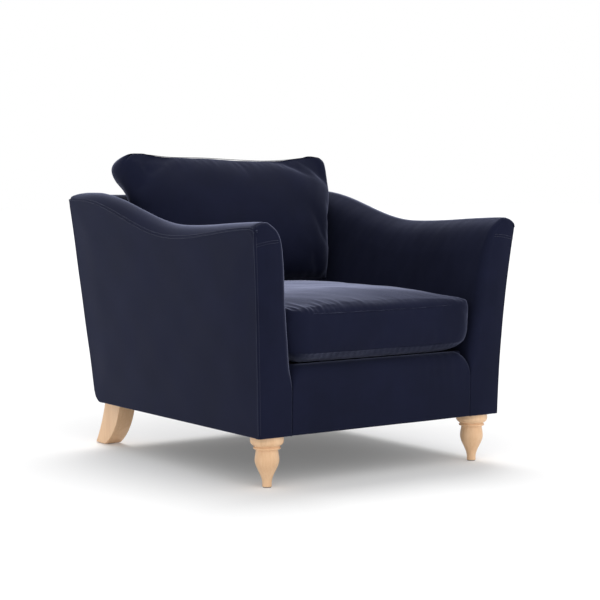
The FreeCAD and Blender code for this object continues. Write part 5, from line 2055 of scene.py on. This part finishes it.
    def rim_away(self) -> Array:
        """Outward directions in plan round the rim.

        Returns:
            One direction a place.
        """
        line = self.ring_at(self.top_seam_z)[:-1, :2]
        ahead = np.roll(line, -1, 0) - np.roll(line, 1, 0)
        away = unit(np.stack([ahead[:, 1], -ahead[:, 0]], 1))
        return np.concatenate([away, away[:1]])

    def seam_lines(self) -> list[Array]:
        """Both seams' paths round the cushion.

        Returns:
            The top one and the bottom one.
        """
        lines = []
        for z, seed in zip((self.top_seam_z, self.bottom_seam_z), self.seam_seeds):
            line = self.ring_at(z)
            line[:, 2] += self.seam_wave(line, seed)
            lines.append(line)
        return lines

    def top_folds(self, draw: np.random.Generator, half: float) -> list[Fold]:
        """Gathers that run back from the top seam and down the border in front.

        Args:
            draw: Where the sizes are drawn.
            half: Half the top seam's width.

        Returns:
            The folds, in drawn coordinates.
        """
        folds = []
        x = -half + 0.016
        while x < half - 0.01:
            pull = 0.25 + 0.75 * smooth_step(0.17, -0.12, x) + 0.25 * smooth_step(0.22, 0.30, x)
            reach = draw.uniform(0.055, 0.115) * (0.7 + 0.5 * abs(x) / half)
            slant = -0.10 - 0.35 * smooth_step(0.10, 0.30, x) + draw.uniform(-0.15, 0.15)
            start = np.array([x, self.front_y - 0.001, self.top_seam_z + 0.002])
            along = np.linspace(0, reach, 12)
            rise = self.rise * self.swell(half - abs(x)) * self.swell(along)
            back = start + xyz(slant * along, along, rise)
            height = draw.uniform(0.0024, 0.0044) * pull
            folds.append(Fold(back, draw.uniform(0.0050, 0.0076), height))
            along = np.linspace(0, draw.uniform(0.022, 0.045), 5)
            down = start + xyz(0.25 * slant * along, -0.004, -along - 0.003)
            folds.append(Fold(down, draw.uniform(0.0038, 0.0055), draw.uniform(0.0002, 0.0005) * pull))
            x += draw.uniform(0.015, 0.025)
        return folds

    def foot_folds(self, draw: np.random.Generator) -> list[Fold]:
        """Gathers that run up the border and under the cushion from the bottom seam in front.

        Args:
            draw: Where the sizes are drawn.

        Returns:
            The folds, in drawn coordinates.
        """
        folds = []
        half = BODY.inner_x(self.bottom_seam_z) - self.side_gap
        fall = self.bottom_seam_z - self.underside_z
        x = -half + 0.02
        while x < half - 0.015:
            along = np.linspace(0, draw.uniform(0.030, 0.060), 6)
            slant = draw.uniform(0.35, 0.75)
            start = np.array([x, self.front_y - 0.002, self.bottom_seam_z + 0.001])
            up = start + xyz(slant * along, -0.003, along)
            folds.append(Fold(up, draw.uniform(0.0045, 0.0065), draw.uniform(0.0002, 0.0006)))
            along = np.linspace(0.001, 1.6 * draw.uniform(0.022, 0.036), 6)
            under = start + xyz(0.6 * along, along, -fall * self.tucked(along))
            folds.append(Fold(under, draw.uniform(0.0050, 0.0075), draw.uniform(0.0007, 0.0016), 0.5))
            x += draw.uniform(0.014, 0.022)
        return folds

    def side_folds(self, draw: np.random.Generator, edge: float) -> list[Fold]:
        """Small gathers along one side of the top seam.

        Args:
            draw: Where the sizes are drawn.
            edge: The seam's x on that side.

        Returns:
            The folds, in drawn coordinates.
        """
        folds = []
        side, y = np.sign(edge), self.front_y + 0.03
        while y < self.rear_y - 0.03:
            reach = draw.uniform(0.03, 0.06)
            along = np.linspace(0, reach, 5)
            path = np.array([edge, y, self.top_seam_z + 0.002])
            path = path + xyz(-side * along, 0.15 * along, 0.03 * (along / 0.06) ** 0.6)
            folds.append(Fold(path, draw.uniform(0.0045, 0.0065), draw.uniform(0.0006, 0.0012)))
            along = np.linspace(0, reach * 0.7, 5)
            path = np.array([edge, y, self.top_seam_z - 0.003]) + xyz(0.0, 0.25 * along, -along)
            folds.append(Fold(path, 0.005, draw.uniform(0.0004, 0.0009)))
            y += draw.uniform(0.018, 0.03)
        return folds

    def build(self) -> list[Object]:
        """Sew, fill and finish the seat cushion.

        Returns:
            The pieces.
        """
        piece = self.case()
        drawn = self.bench.drawn(piece)
        lines = self.seam_lines()
        on_top, on_low = (path_distance(drawn, line) < self.seam_reach for line in lines)
        under = drawn[:, 2] < self.bottom_seam_z - 0.0020
        rear = (drawn[:, 1] > self.rear_y - 0.004) & (drawn[:, 2] < self.top_seam_z + 0.001)
        border = drawn[:, 2] < self.top_seam_z - 0.001
        off_front = smooth_step(0.0, 0.18, drawn[:, 1] - self.front_y)
        off_side = smooth_step(0.0, 0.12, BODY.inner_x(drawn[:, 2]) - np.abs(drawn[:, 0]))
        travel = np.where(border, 0.004, 0.002 + 0.008 * off_front * off_side)
        drawn = self.filled(piece, on_top | on_low | under | rear, travel)
        top = ~border & ~on_top
        rise = np.clip(drawn[:, 2] - self.top_seam_z, 0.0, None)
        scale = (self.crown_z - self.top_seam_z) / np.percentile(rise[top], 99.5)
        drawn[:, 2] = np.where(top & (rise > 0), self.top_seam_z + rise * scale, drawn[:, 2])
        self.bench.redraw(piece, drawn)
        self.rounded(piece, [on_top, on_low])
        drawn = self.relieved(piece, self.relief(lines))
        side = BODY.inner_x(drawn[:, 2]) - 0.0006
        drawn[:, 0] = np.clip(drawn[:, 0], -side, side)
        drawn[:, 2] = np.maximum(drawn[:, 2], self.underside_z)
        drawn[:, 1] = np.minimum(drawn[:, 1], self.rear_y)
        self.bench.redraw(piece, drawn)
        self.bench.smooth(piece, 70.0)
        piece.name = piece.data.name = "seat_cushion_cloth"
        finished(piece, SEAT_VELVET, "seat_cushion_cover", "seat_cushion_wrap", fill=0.9, body="seat_cushion")
        pieces = [piece, self.core()]
        for label, line, finish in (("top", lines[0], VELVET), ("bottom", lines[1], SEAM_SHADE)):
            seam = self.bench.tube(f"seat_{label}_seam", line[:-1], 0.0006, 6, closed=True)
            pieces.append(finished(seam, finish, body="seat_cushion"))
        return pieces

    def relief(self, lines: Sequence[Array]) -> Callable[[Array], Array]:
        """The cloth's relief: slow waves and gathers along the seams, strongest at the front corners.

        Args:
            lines: Both seams' paths.

        Returns:
            A function that gives the height at drawn points.
        """
        draw = np.random.default_rng(7)
        half = BODY.inner_x(self.top_seam_z) - self.side_gap
        folds = self.top_folds(draw, half) + self.foot_folds(draw)
        folds += self.side_folds(draw, -half) + self.side_folds(draw, half)

        def lift(here: Array) -> Array:
            """Height at each drawn point.

            Args:
                here: Drawn points.

            Returns:
                The heights.
            """
            gap = np.minimum(path_distance(here, lines[0]), path_distance(here, lines[1]))
            total = 0.0009 * ripple(here, 0.16, 63) + 0.0002 * ripple(here, 0.05, 64)
            for fold in folds:
                total += fold.lift(here)
            off_floor = smooth_step(self.underside_z, self.underside_z + 0.008, here[:, 2])
            return total * smooth_step(0.0, 0.005, gap) * off_floor

        return lift

    def core(self) -> Object:
        """The foam block inside, rounded like the case.

        Returns:
            The piece.
        """
        away = xyz(*self.rim_away().T, 0.0)
        rings = []
        for inset, z in self.core_profile:
            middle = np.array([0.0, (self.front_y + self.rear_y) / 2, z])
            rings.append(np.where(inset < 0.3, self.ring_at(z) - away * inset, middle))
        piece = self.bench.merged(self.bench.panel("seat_foam_core", np.stack(rings)), self.bench.close)
        self.bench.smooth(piece, 50.0)
        return finished(piece, FOAM, "seat_cushion_core", fill=0.95, body="seat_cushion")


@dataclass
class BackCushion(Cushion):
    """The knife-edged back cushion: two panels sewn together round a raked seam.

    The paths of both panels are knots of (place up the cushion, y, z).
    """

    pressure: float = 3.5
    foot: tuple[float, float] = (0.703, 0.4870)
    head: tuple[float, float] = (0.782, 0.8745)
    half_widths: Knots = (
        (0.0, 0.3170), (0.15, 0.3215), (0.33, 0.3300), (0.68, 0.3580), (0.84, 0.3650), (0.93, 0.3645),
        (0.975, 0.3605), (1.0, 0.3505),
    )
    head_drops: Knots = (
        (-1.0, 0.0080), (-0.965, -0.0025), (-0.90, -0.0045), (-0.80, -0.0018), (-0.62, 0.0040),
        (-0.26, 0.0060), (0.11, 0.0115), (0.36, 0.0140), (0.62, 0.0105), (0.84, 0.0030), (0.93, 0.0018),
        (1.0, 0.0070),
    )
    front_path: Knots3 = (
        (0.0, 0.703, 0.4870), (0.05, 0.672, 0.4965), (0.11, 0.641, 0.512), (0.17, 0.6295, 0.543),
        (0.24, 0.628, 0.578), (0.40, 0.641, 0.645), (0.60, 0.674, 0.7245), (0.80, 0.7175, 0.802),
        (0.92, 0.752, 0.8480), (1.0, 0.782, 0.8745),
    )
    rear_path: Knots3 = (
        (0.0, 0.703, 0.4870), (0.05, 0.734, 0.4835), (0.09, 0.7655, 0.4822), (0.13, 0.786, 0.4985),
        (0.17, 0.8065, 0.5185), (0.25, 0.818, 0.5720), (0.5, 0.840, 0.6750), (0.72, 0.8665, 0.7700),
        (0.84, 0.878, 0.8250), (0.92, 0.862, 0.8555), (1.0, 0.782, 0.8745),
    )
    side_swells: Knots = (
        (0.45, -0.016), (0.70, -0.016), (0.753, -0.011), (0.775, -0.003), (0.80, 0.011), (0.835, 0.024),
        (0.86, 0.015), (0.88, 0.0),
    )
    rear_gap: float = 0.001
    rest_top_z: float = 0.752
    side_turn: float = 0.80
    seat_z: float = 0.4945
    seat_fall: float = 0.014
    highest_z: float = 0.8800
    zip_place: tuple[float, float] = (0.7870, 0.4983)
    cells: tuple[int, int] = (80, 52)

    def spine(self, v: Array) -> tuple[Array, Array]:
        """y and z of the seam's raked plane at a share of its height."""
        (foot_y, foot_z), (head_y, head_z) = self.foot, self.head
        return foot_y + (head_y - foot_y) * v, foot_z + (head_z - foot_z) * v

    def seam_y(self, z: Array) -> Array:
        """The seam plane's y at a height."""
        return self.spine((z - self.foot[1]) / (self.head[1] - self.foot[1]))[0]

    def seam_point(self, u: Array, v: Array) -> Array:
        """Points of the seam's raked plane, u being -1 to 1 across and v 0 to 1 from foot to head."""
        y, z = self.spine(v)
        return xyz(u * curve(self.half_widths, v), y, z - curve(self.head_drops, u) * v**5)

    def stations(self) -> tuple[Array, Array]:
        """Grid places across and up."""
        columns, rows = self.cells
        return np.linspace(-1, 1, columns + 1), np.linspace(0, 1, rows + 1)

    def shaped(self, path: Knots3, u: Array, v: Array, full: Array) -> Array:
        """A panel drawn out of the seam's plane along its path.

        Args:
            path: Knots of (place up the cushion, y, z).
            u: Places across.
            v: Places up.
            full: Share of the path's depth at each place.

        Returns:
            Drawn points.
        """
        line, level = self.spine(v)
        y = curve(tuple((place, y) for place, y, _ in path), v) - line
        z = curve(tuple((place, z) for place, _, z in path), v) - level
        return self.seam_point(u, v) + xyz(0.0, y * full, z * full)

    def faces(self) -> tuple[Array, Array]:
        """The front and rear panels before filling.

        Returns:
            Rows by columns of drawn points for each.
        """
        u, v = np.meshgrid(*self.stations())
        full = (1 - np.abs(u) ** (3.6 - 1.2 * smooth_step(0.6, 1.0, v))) ** 0.55
        front = self.shaped(self.front_path, u, v, full)
        turn = np.clip((np.abs(u) - self.side_turn) / (1 - self.side_turn), 0, 1) * math.pi / 2
        rear = self.shaped(self.rear_path, u, v, np.cos(turn) ** 0.9)
        half = curve(self.half_widths, v)
        wide = self.side_turn * half + (1 - self.side_turn) * half * np.sin(turn) ** 0.85
        swell = curve(self.side_swells, rear[..., 2]) * np.sin(2 * turn)
        wide = wide + swell * np.sin(math.pi * np.clip(v, 0, 1)) ** 0.3
        rear[..., 0] = np.where(turn > 0, np.sign(u) * wide, rear[..., 0])
        return front, rear

    def front_point(self, u: Array, v: Array) -> Array:
        """Points a little in front of the front panel.

        Args:
            u: Places across.
            v: Places up.

        Returns:
            Drawn points.
        """
        full = (1 - np.abs(u) ** 3.4) ** 0.55
        depth = curve(tuple((place, y) for place, y, _ in self.front_path), v) - self.spine(v)[0]
        return self.seam_point(u, v) + xyz(0.0, depth * full - 0.006, 0.0)

    def folds(self) -> list[Fold]:
        """Soft wrinkles pulled from the upper corners, the top and the side seams.

        Returns:
            The folds, in drawn coordinates.
        """
        draw = np.random.default_rng(17)
        folds = []
        for side in (-1, 1):
            for turn in (14, 30, 44, 58, 74):
                along = np.linspace(0.015, draw.uniform(0.16, 0.34), 7)
                angle = math.radians(turn + draw.uniform(-5, 5))
                across = side * (0.955 - along * math.cos(angle) * 0.8)
                path = self.front_point(across, 0.955 - along * math.sin(angle) * (1 - 0.3 * along))
                folds.append(Fold(path, draw.uniform(0.007, 0.011), draw.uniform(0.0009, 0.0018), 0.6))
            v = 0.14
            while v < 0.93:
                along = np.linspace(0, draw.uniform(0.04, 0.10), 5)
                path = self.front_point(side * (0.99 - along), v + 0.35 * along)
                folds.append(Fold(path, draw.uniform(0.006, 0.009), draw.uniform(0.0003, 0.0008)))
                v += draw.uniform(0.045, 0.08)
        u = -0.9
        while u < 0.9:
            along = np.linspace(0, draw.uniform(0.08, 0.20), 6)
            path = self.front_point(u + draw.uniform(-0.1, 0.5) * along, 0.985 - along)
            folds.append(Fold(path, draw.uniform(0.006, 0.009), draw.uniform(0.0006, 0.0014)))
            u += draw.uniform(0.06, 0.12)
        return folds

    def build(self) -> list[Object]:
        """Sew, fill and finish the back cushion.

        Returns:
            The pieces.
        """
        front, rear = self.faces()
        parts = [self.bench.panel("back_front", front), self.bench.panel("back_rear", rear)]
        piece = self.bench.merged(self.bench.joined("back_cushion_cloth", parts), self.bench.sewn)
        line = self.seam_point(*grid_rim(*self.stations()).T)
        drawn = self.bench.drawn(piece)
        on_seam = path_distance(drawn, line) < self.seam_reach
        behind = drawn[:, 1] > self.seam_y(drawn[:, 2]) + 0.0005
        travel = np.where(behind, 0.003 + 0.009 * smooth_step(0.70, 0.78, drawn[:, 2]), 0.014)
        held = on_seam | (behind & (drawn[:, 2] < 0.56))
        self.bench.redraw(piece, self.kept(self.filled(piece, held, travel)))
        self.rounded(piece, [on_seam])
        self.bench.redraw(piece, self.kept(self.relieved(piece, self.relief(line))))
        self.bench.smooth(piece, 70.0)
        finished(piece, BACK_VELVET, "back_cushion_cover", "back_cushion_fill", fill=0.8, body="back_cushion")
        inward = unit(xyz(0.0, *self.spine(0.5)) - line)
        seam = self.bench.tube("back_cushion_seam", (line + 0.0006 * inward)[:-1], 0.0009, 6, closed=True)
        return [piece, finished(seam, BACK_VELVET, body="back_cushion")]

    def relief(self, line: Array) -> Callable[[Array], Array]:
        """The cloth's relief: slow waves and wrinkles, calm at the seam and round the zip.

        Args:
            line: The seam's path.

        Returns:
            A function that gives the height at drawn points.
        """
        folds = self.folds()

        def lift(here: Array) -> Array:
            """Height at each drawn point.

            Args:
                here: Drawn points.

            Returns:
                The heights.
            """
            ahead = smooth_step(-0.004, 0.004, self.seam_y(here[:, 2]) - here[:, 1])
            total = 0.0018 * ripple(here, 0.17, 71) + 0.0005 * ripple(here, 0.06, 72)
            for fold in folds:
                total += fold.lift(here) * ahead
            at_zip = np.hypot(here[:, 1] - self.zip_place[0], here[:, 2] - self.zip_place[1])
            calm = smooth_step(0.0, 0.007, path_distance(here, line))
            return total * calm * smooth_step(0.012, 0.030, at_zip)

        return lift

    def kept(self, drawn: Array) -> Array:
        """Keep points off the inside back, the seat and the arms.

        Args:
            drawn: Drawn points.

        Returns:
            The corrected points.
        """
        x, y, z = drawn.T
        y = np.where(z < self.rest_top_z, np.minimum(y, BODY.inside_back_y(z) - self.rear_gap), y)
        z = np.maximum(z, self.seat_z - self.seat_fall * smooth_step(0.690, 0.735, y))
        z = np.minimum(z, self.highest_z)
        side = BODY.inner_x(z) - 0.0006
        in_arms = z < BODY.crown_z(y) - BODY.round_drop
        return xyz(np.where(in_arms, np.clip(x, -side, side), x), y, z)


@dataclass
class Zip:
    """A coil zip in a cushion's cover: tape, two rows of teeth and a slider with its pull."""

    bench: Bench
    cushion: str
    middle: tuple[float, float]
    lean: float
    half: float
    tape_width: float = 0.0185
    tape_thick: float = 0.0007
    pitch: float = 0.0022
    tooth: tuple[float, float] = (0.0021, 0.00055)
    row_gap: float = 0.0006
    slider_size: tuple[float, float, float] = (0.0094, 0.0072, 0.0022)
    slider_profile: Knots3 = (
        (-0.5, 0.0, 0.0), (-0.5, 0.52, 0.6), (-0.44, 0.66, 0.92), (-0.2, 0.72, 1.0), (0.1, 0.86, 1.0),
        (0.36, 1.0, 1.0), (0.46, 0.97, 0.92), (0.5, 0.86, 0.6), (0.5, 0.0, 0.0),
    )
    bridge: tuple[float, float, float] = (0.003, 0.0013, 0.00055)
    pull: tuple[float, float, float] = (0.0034, 0.0130, 0.0006)
    lift: float = 0.0014

    @property
    def name(self) -> str:
        """The cushion's name in full."""
        return f"{self.cushion}_cushion"

    def frame_at(self, x: Array, across: Array, out: Array) -> Array:
        """Place points on the zip's plane.

        Args:
            x: Along the zip.
            across: Up the tape from its middle.
            out: Away from the cushion.

        Returns:
            Drawn points.
        """
        y = self.middle[0] + across * math.sin(self.lean) + out * math.cos(self.lean)
        z = self.middle[1] + across * math.cos(self.lean) - out * math.sin(self.lean)
        return xyz(x, y, z)

    def build(self) -> list[Object]:
        """Make and dress the zip.

        Returns:
            The pieces.
        """
        tape = finished(self.tape(), ZIP_TAPE, f"{self.name}_zip", body=self.name)
        teeth = finished(self.teeth(), NYLON, body=self.name)
        slider = self.slider()
        finished(slider, ZIP_METAL, f"{self.cushion}_zip_slider", body=f"{self.cushion}_slider")
        return [tape, teeth, slider]

    def tape(self) -> Object:
        """The woven tape, a little uneven along its length.

        Returns:
            The piece.
        """
        across, x = np.linspace(-1, 1, 11)[:, None], np.linspace(-self.half, self.half, 120)
        out = 0.0003 * np.sin(x * 2 * math.pi / 0.11) * across**2 + 0.0002 * (1 - np.abs(across) ** 8)
        points = self.frame_at(x, across * self.tape_width / 2, out)
        return self.bench.skin(f"{self.name}_tape", points, self.frame_at(0.0, 0.0, -0.05), self.tape_thick)

    def teeth(self) -> Object:
        """The two rows of coil teeth, meshed along the middle.

        Returns:
            The piece.
        """
        long, radius = self.tooth
        reach = np.array([-0.5, -0.42, 0.0, 0.42, 0.5])[:, None] * long
        size = radius * np.array([0.2, 0.85, 1.0, 0.85, 0.2])[:, None]
        turn = np.linspace(0.0, ROUND, 7)
        rings = xyz(size * np.cos(turn), reach, size * np.sin(turn))
        bead = self.bench.merged(self.bench.panel("tooth", rings - self.bench.shift), self.bench.close)
        origin = self.frame_at(0.0, 0.0, 0.0)
        axes = [self.frame_at(*spot) - origin for spot in np.eye(3)]
        frames = []
        for row in (-1, 1):
            for x in np.arange(-self.half + 0.004, self.half - 0.004, self.pitch):
                spot = self.frame_at(x + row * self.pitch / 4, row * self.row_gap, radius + 0.0002)
                frames.append(np.stack([*axes, spot], axis=1))
        return self.bench.repeated(f"{self.name}_teeth", bead, frames)

    def slider(self) -> Object:
        """The metal slider: a waisted body, its bridge and a looped pull.

        Returns:
            The piece.
        """
        length, width, height = self.slider_size
        high, up = rounded_square(np.linspace(0.0, ROUND, 25), 0.5, 0.5)
        rings = []
        for along, wide, tall in self.slider_profile:
            out = self.lift + height / 2 + high * tall * height / 2
            rings.append(self.frame_at(along * length, up * wide * width / 2, out))
        shell = self.bench.merged(self.bench.panel("slider_shell", np.stack(rings)), self.bench.close)
        self.bench.smooth(shell, 40.0)
        top = height + self.lift
        half, rise, thick = self.bridge
        arc = np.radians(np.linspace(0.0, 180.0, 15))
        path = self.frame_at(half * np.cos(arc), 0.0, top - 0.0004 + rise * np.sin(arc))
        bridge = self.bench.tube("slider_bridge", path, thick, 8)
        wide, long, thick = self.pull
        x, up = rounded_square(np.linspace(0.0, ROUND, 49)[:-1], 0.6, 0.8)
        up = -long / 2 + 0.001 + up * long / 2
        drape = top + 0.0002 - 0.0006 * smooth_step(0.0, long, -up)
        loop = self.bench.tube("slider_pull", self.frame_at(x * wide / 2, up, drape), thick, 8, closed=True)
        return self.bench.joined(f"{self.cushion}_slider", [shell, bridge, loop])


# ---- light, camera and the whole chair -------------------------------------------------------------
@dataclass
class Studio:
    """A white seamless studio with soft light and the camera."""

    camera_place: tuple[float, float, float] = (-2.73913, -3.93874, 0.81579)
    camera_turn_deg: tuple[float, float, float] = (85.648, 0.0, -35.285)
    lens: float = 98.41
    floor_half: float = 30.0
    floor_lift: float = 0.13
    sun_level: float = 1.45
    sky_level: float = 0.66

    def build(self) -> None:
        """Set the floor, the lights, the world and the camera."""
        self.floor()
        self.sun("key_light", (math.radians(24), 0.0, math.radians(150)), self.sun_level, 32.0)
        self.sun("front_light", (math.radians(52), 0.0, math.radians(-18)), 0.58 * self.sun_level, 60.0)
        self.world()
        self.camera()

    @staticmethod
    def seen(net: Net) -> Socket:
        """Where the surroundings are looked at: straight, through something or in a reflection.

        Args:
            net: The net to build in.

        Returns:
            1 there and 0 elsewhere.
        """
        ray = net.add("ShaderNodeLightPath")
        straight = net.math("MAXIMUM", ray.outputs["Is Camera Ray"], ray.outputs["Is Transmission Ray"])
        return net.math("MAXIMUM", straight, ray.outputs["Is Glossy Ray"])

    def floor(self) -> None:
        """The white floor, far wider than the view."""
        Bench.settle()
        bpy.ops.mesh.primitive_plane_add(size=2 * self.floor_half)
        plane = bpy.context.object
        plane.name = "studio_floor"
        material = bpy.data.materials.new("studio_paper")
        material.use_nodes = True
        net = Net(material.node_tree)
        net.tree.nodes.clear()
        shader = net.add("ShaderNodeBsdfDiffuse", {"Color": (0.93, 0.93, 0.93)})
        paper = net.add("ShaderNodeEmission", {"Color": (1.0, 1.0, 1.0), "Strength": 1.0})
        share = net.times(self.seen(net), self.floor_lift)
        mixed = net.add("ShaderNodeMixShader", {0: share, 1: shader.outputs[0], 2: paper.outputs[0]})
        net.add("ShaderNodeOutputMaterial", {0: mixed.outputs[0]})
        plane.data.materials.append(material)
        plane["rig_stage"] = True

    def sun(self, name: str, turn: tuple[float, float, float], level: float, spread: float) -> None:
        """A broad distant light.

        Args:
            name: Its name.
            turn: Its rotation in radians.
            level: Its strength.
            spread: Its angular size in degrees.
        """
        light = bpy.data.lights.new(name, "SUN")
        light.energy = level
        light.angle = math.radians(spread)
        lamp = bpy.data.objects.new(name, light)
        lamp.rotation_euler = turn
        bpy.context.scene.collection.objects.link(lamp)

    def world(self) -> None:
        """Plain light from everywhere, seen as white."""
        world = bpy.data.worlds.new("studio_air")
        bpy.context.scene.world = world
        world.use_nodes = True
        net = Net(world.node_tree)
        net.tree.nodes.clear()
        level = net.plus(net.times(self.seen(net), 1.0 - self.sky_level), self.sky_level)
        shader = net.add("ShaderNodeBackground", {"Color": (1.0, 1.0, 1.0), "Strength": level})
        net.add("ShaderNodeOutputWorld", {0: shader.outputs[0]})

    def camera(self) -> None:
        """The camera, from the sitter's right."""
        data = bpy.data.cameras.new("camera")
        data.lens = self.lens
        data.sensor_width = 36.0
        data.clip_end = 200.0
        camera = bpy.data.objects.new("camera", data)
        camera.location = self.camera_place
        camera.rotation_euler = tuple(math.radians(a) for a in self.camera_turn_deg)
        bpy.context.scene.collection.objects.link(camera)
        bpy.context.scene.camera = camera
        view = bpy.context.scene.view_settings
        view.view_transform = "Standard"


def dress_frame() -> int:
    """Give every carried-over node its finish by slot.

    Returns:
        How many nodes were dressed.
    """
    dressed = 0
    for node in bpy.context.scene.objects:
        if node.type != "MESH" or "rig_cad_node" not in node:
            continue
        for place in node.material_slots:
            key = place.material.name.split(".")[0] if place.material else ""
            place.material = NODE_FINISHES.get(key, VELVET).material()
        dressed += 1
    return dressed


def main() -> None:
    """Build the chair piece by piece."""
    logging.basicConfig(level=logging.INFO, format="%(name)s: %(message)s")
    before = [corner.copy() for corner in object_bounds()]
    hem_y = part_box("back_leg_left")[1].y - BODY.rear_leg_y
    bench = Bench(hem_y)
    LOG.info("front hem at y = %.4f m", hem_y)
    LOG.info("dressed %d of the frame's %d nodes", dress_frame(), len(frame["nodes"]))
    back = BackCushion(bench)
    builders = [
        Arm(bench, Side.RIGHT),
        Arm(bench, Side.LEFT),
        FrontRail(bench),
        Back(bench),
        Deck(bench),
        SeatCushion(bench),
        back,
        Zip(bench, "seat", middle=(0.7503, 0.4070), lean=0.0, half=0.2210),
        Zip(bench, "back", middle=back.zip_place, lean=math.radians(50.0), half=0.2310),
    ]
    for builder in builders:
        for piece in builder.build():
            if "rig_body" not in piece:
                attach(piece, "chair")
            LOG.info("%s: %d faces", piece.name, len(piece.data.polygons))
    Studio().build()


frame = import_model()

if __name__ == "__main__":
    main()
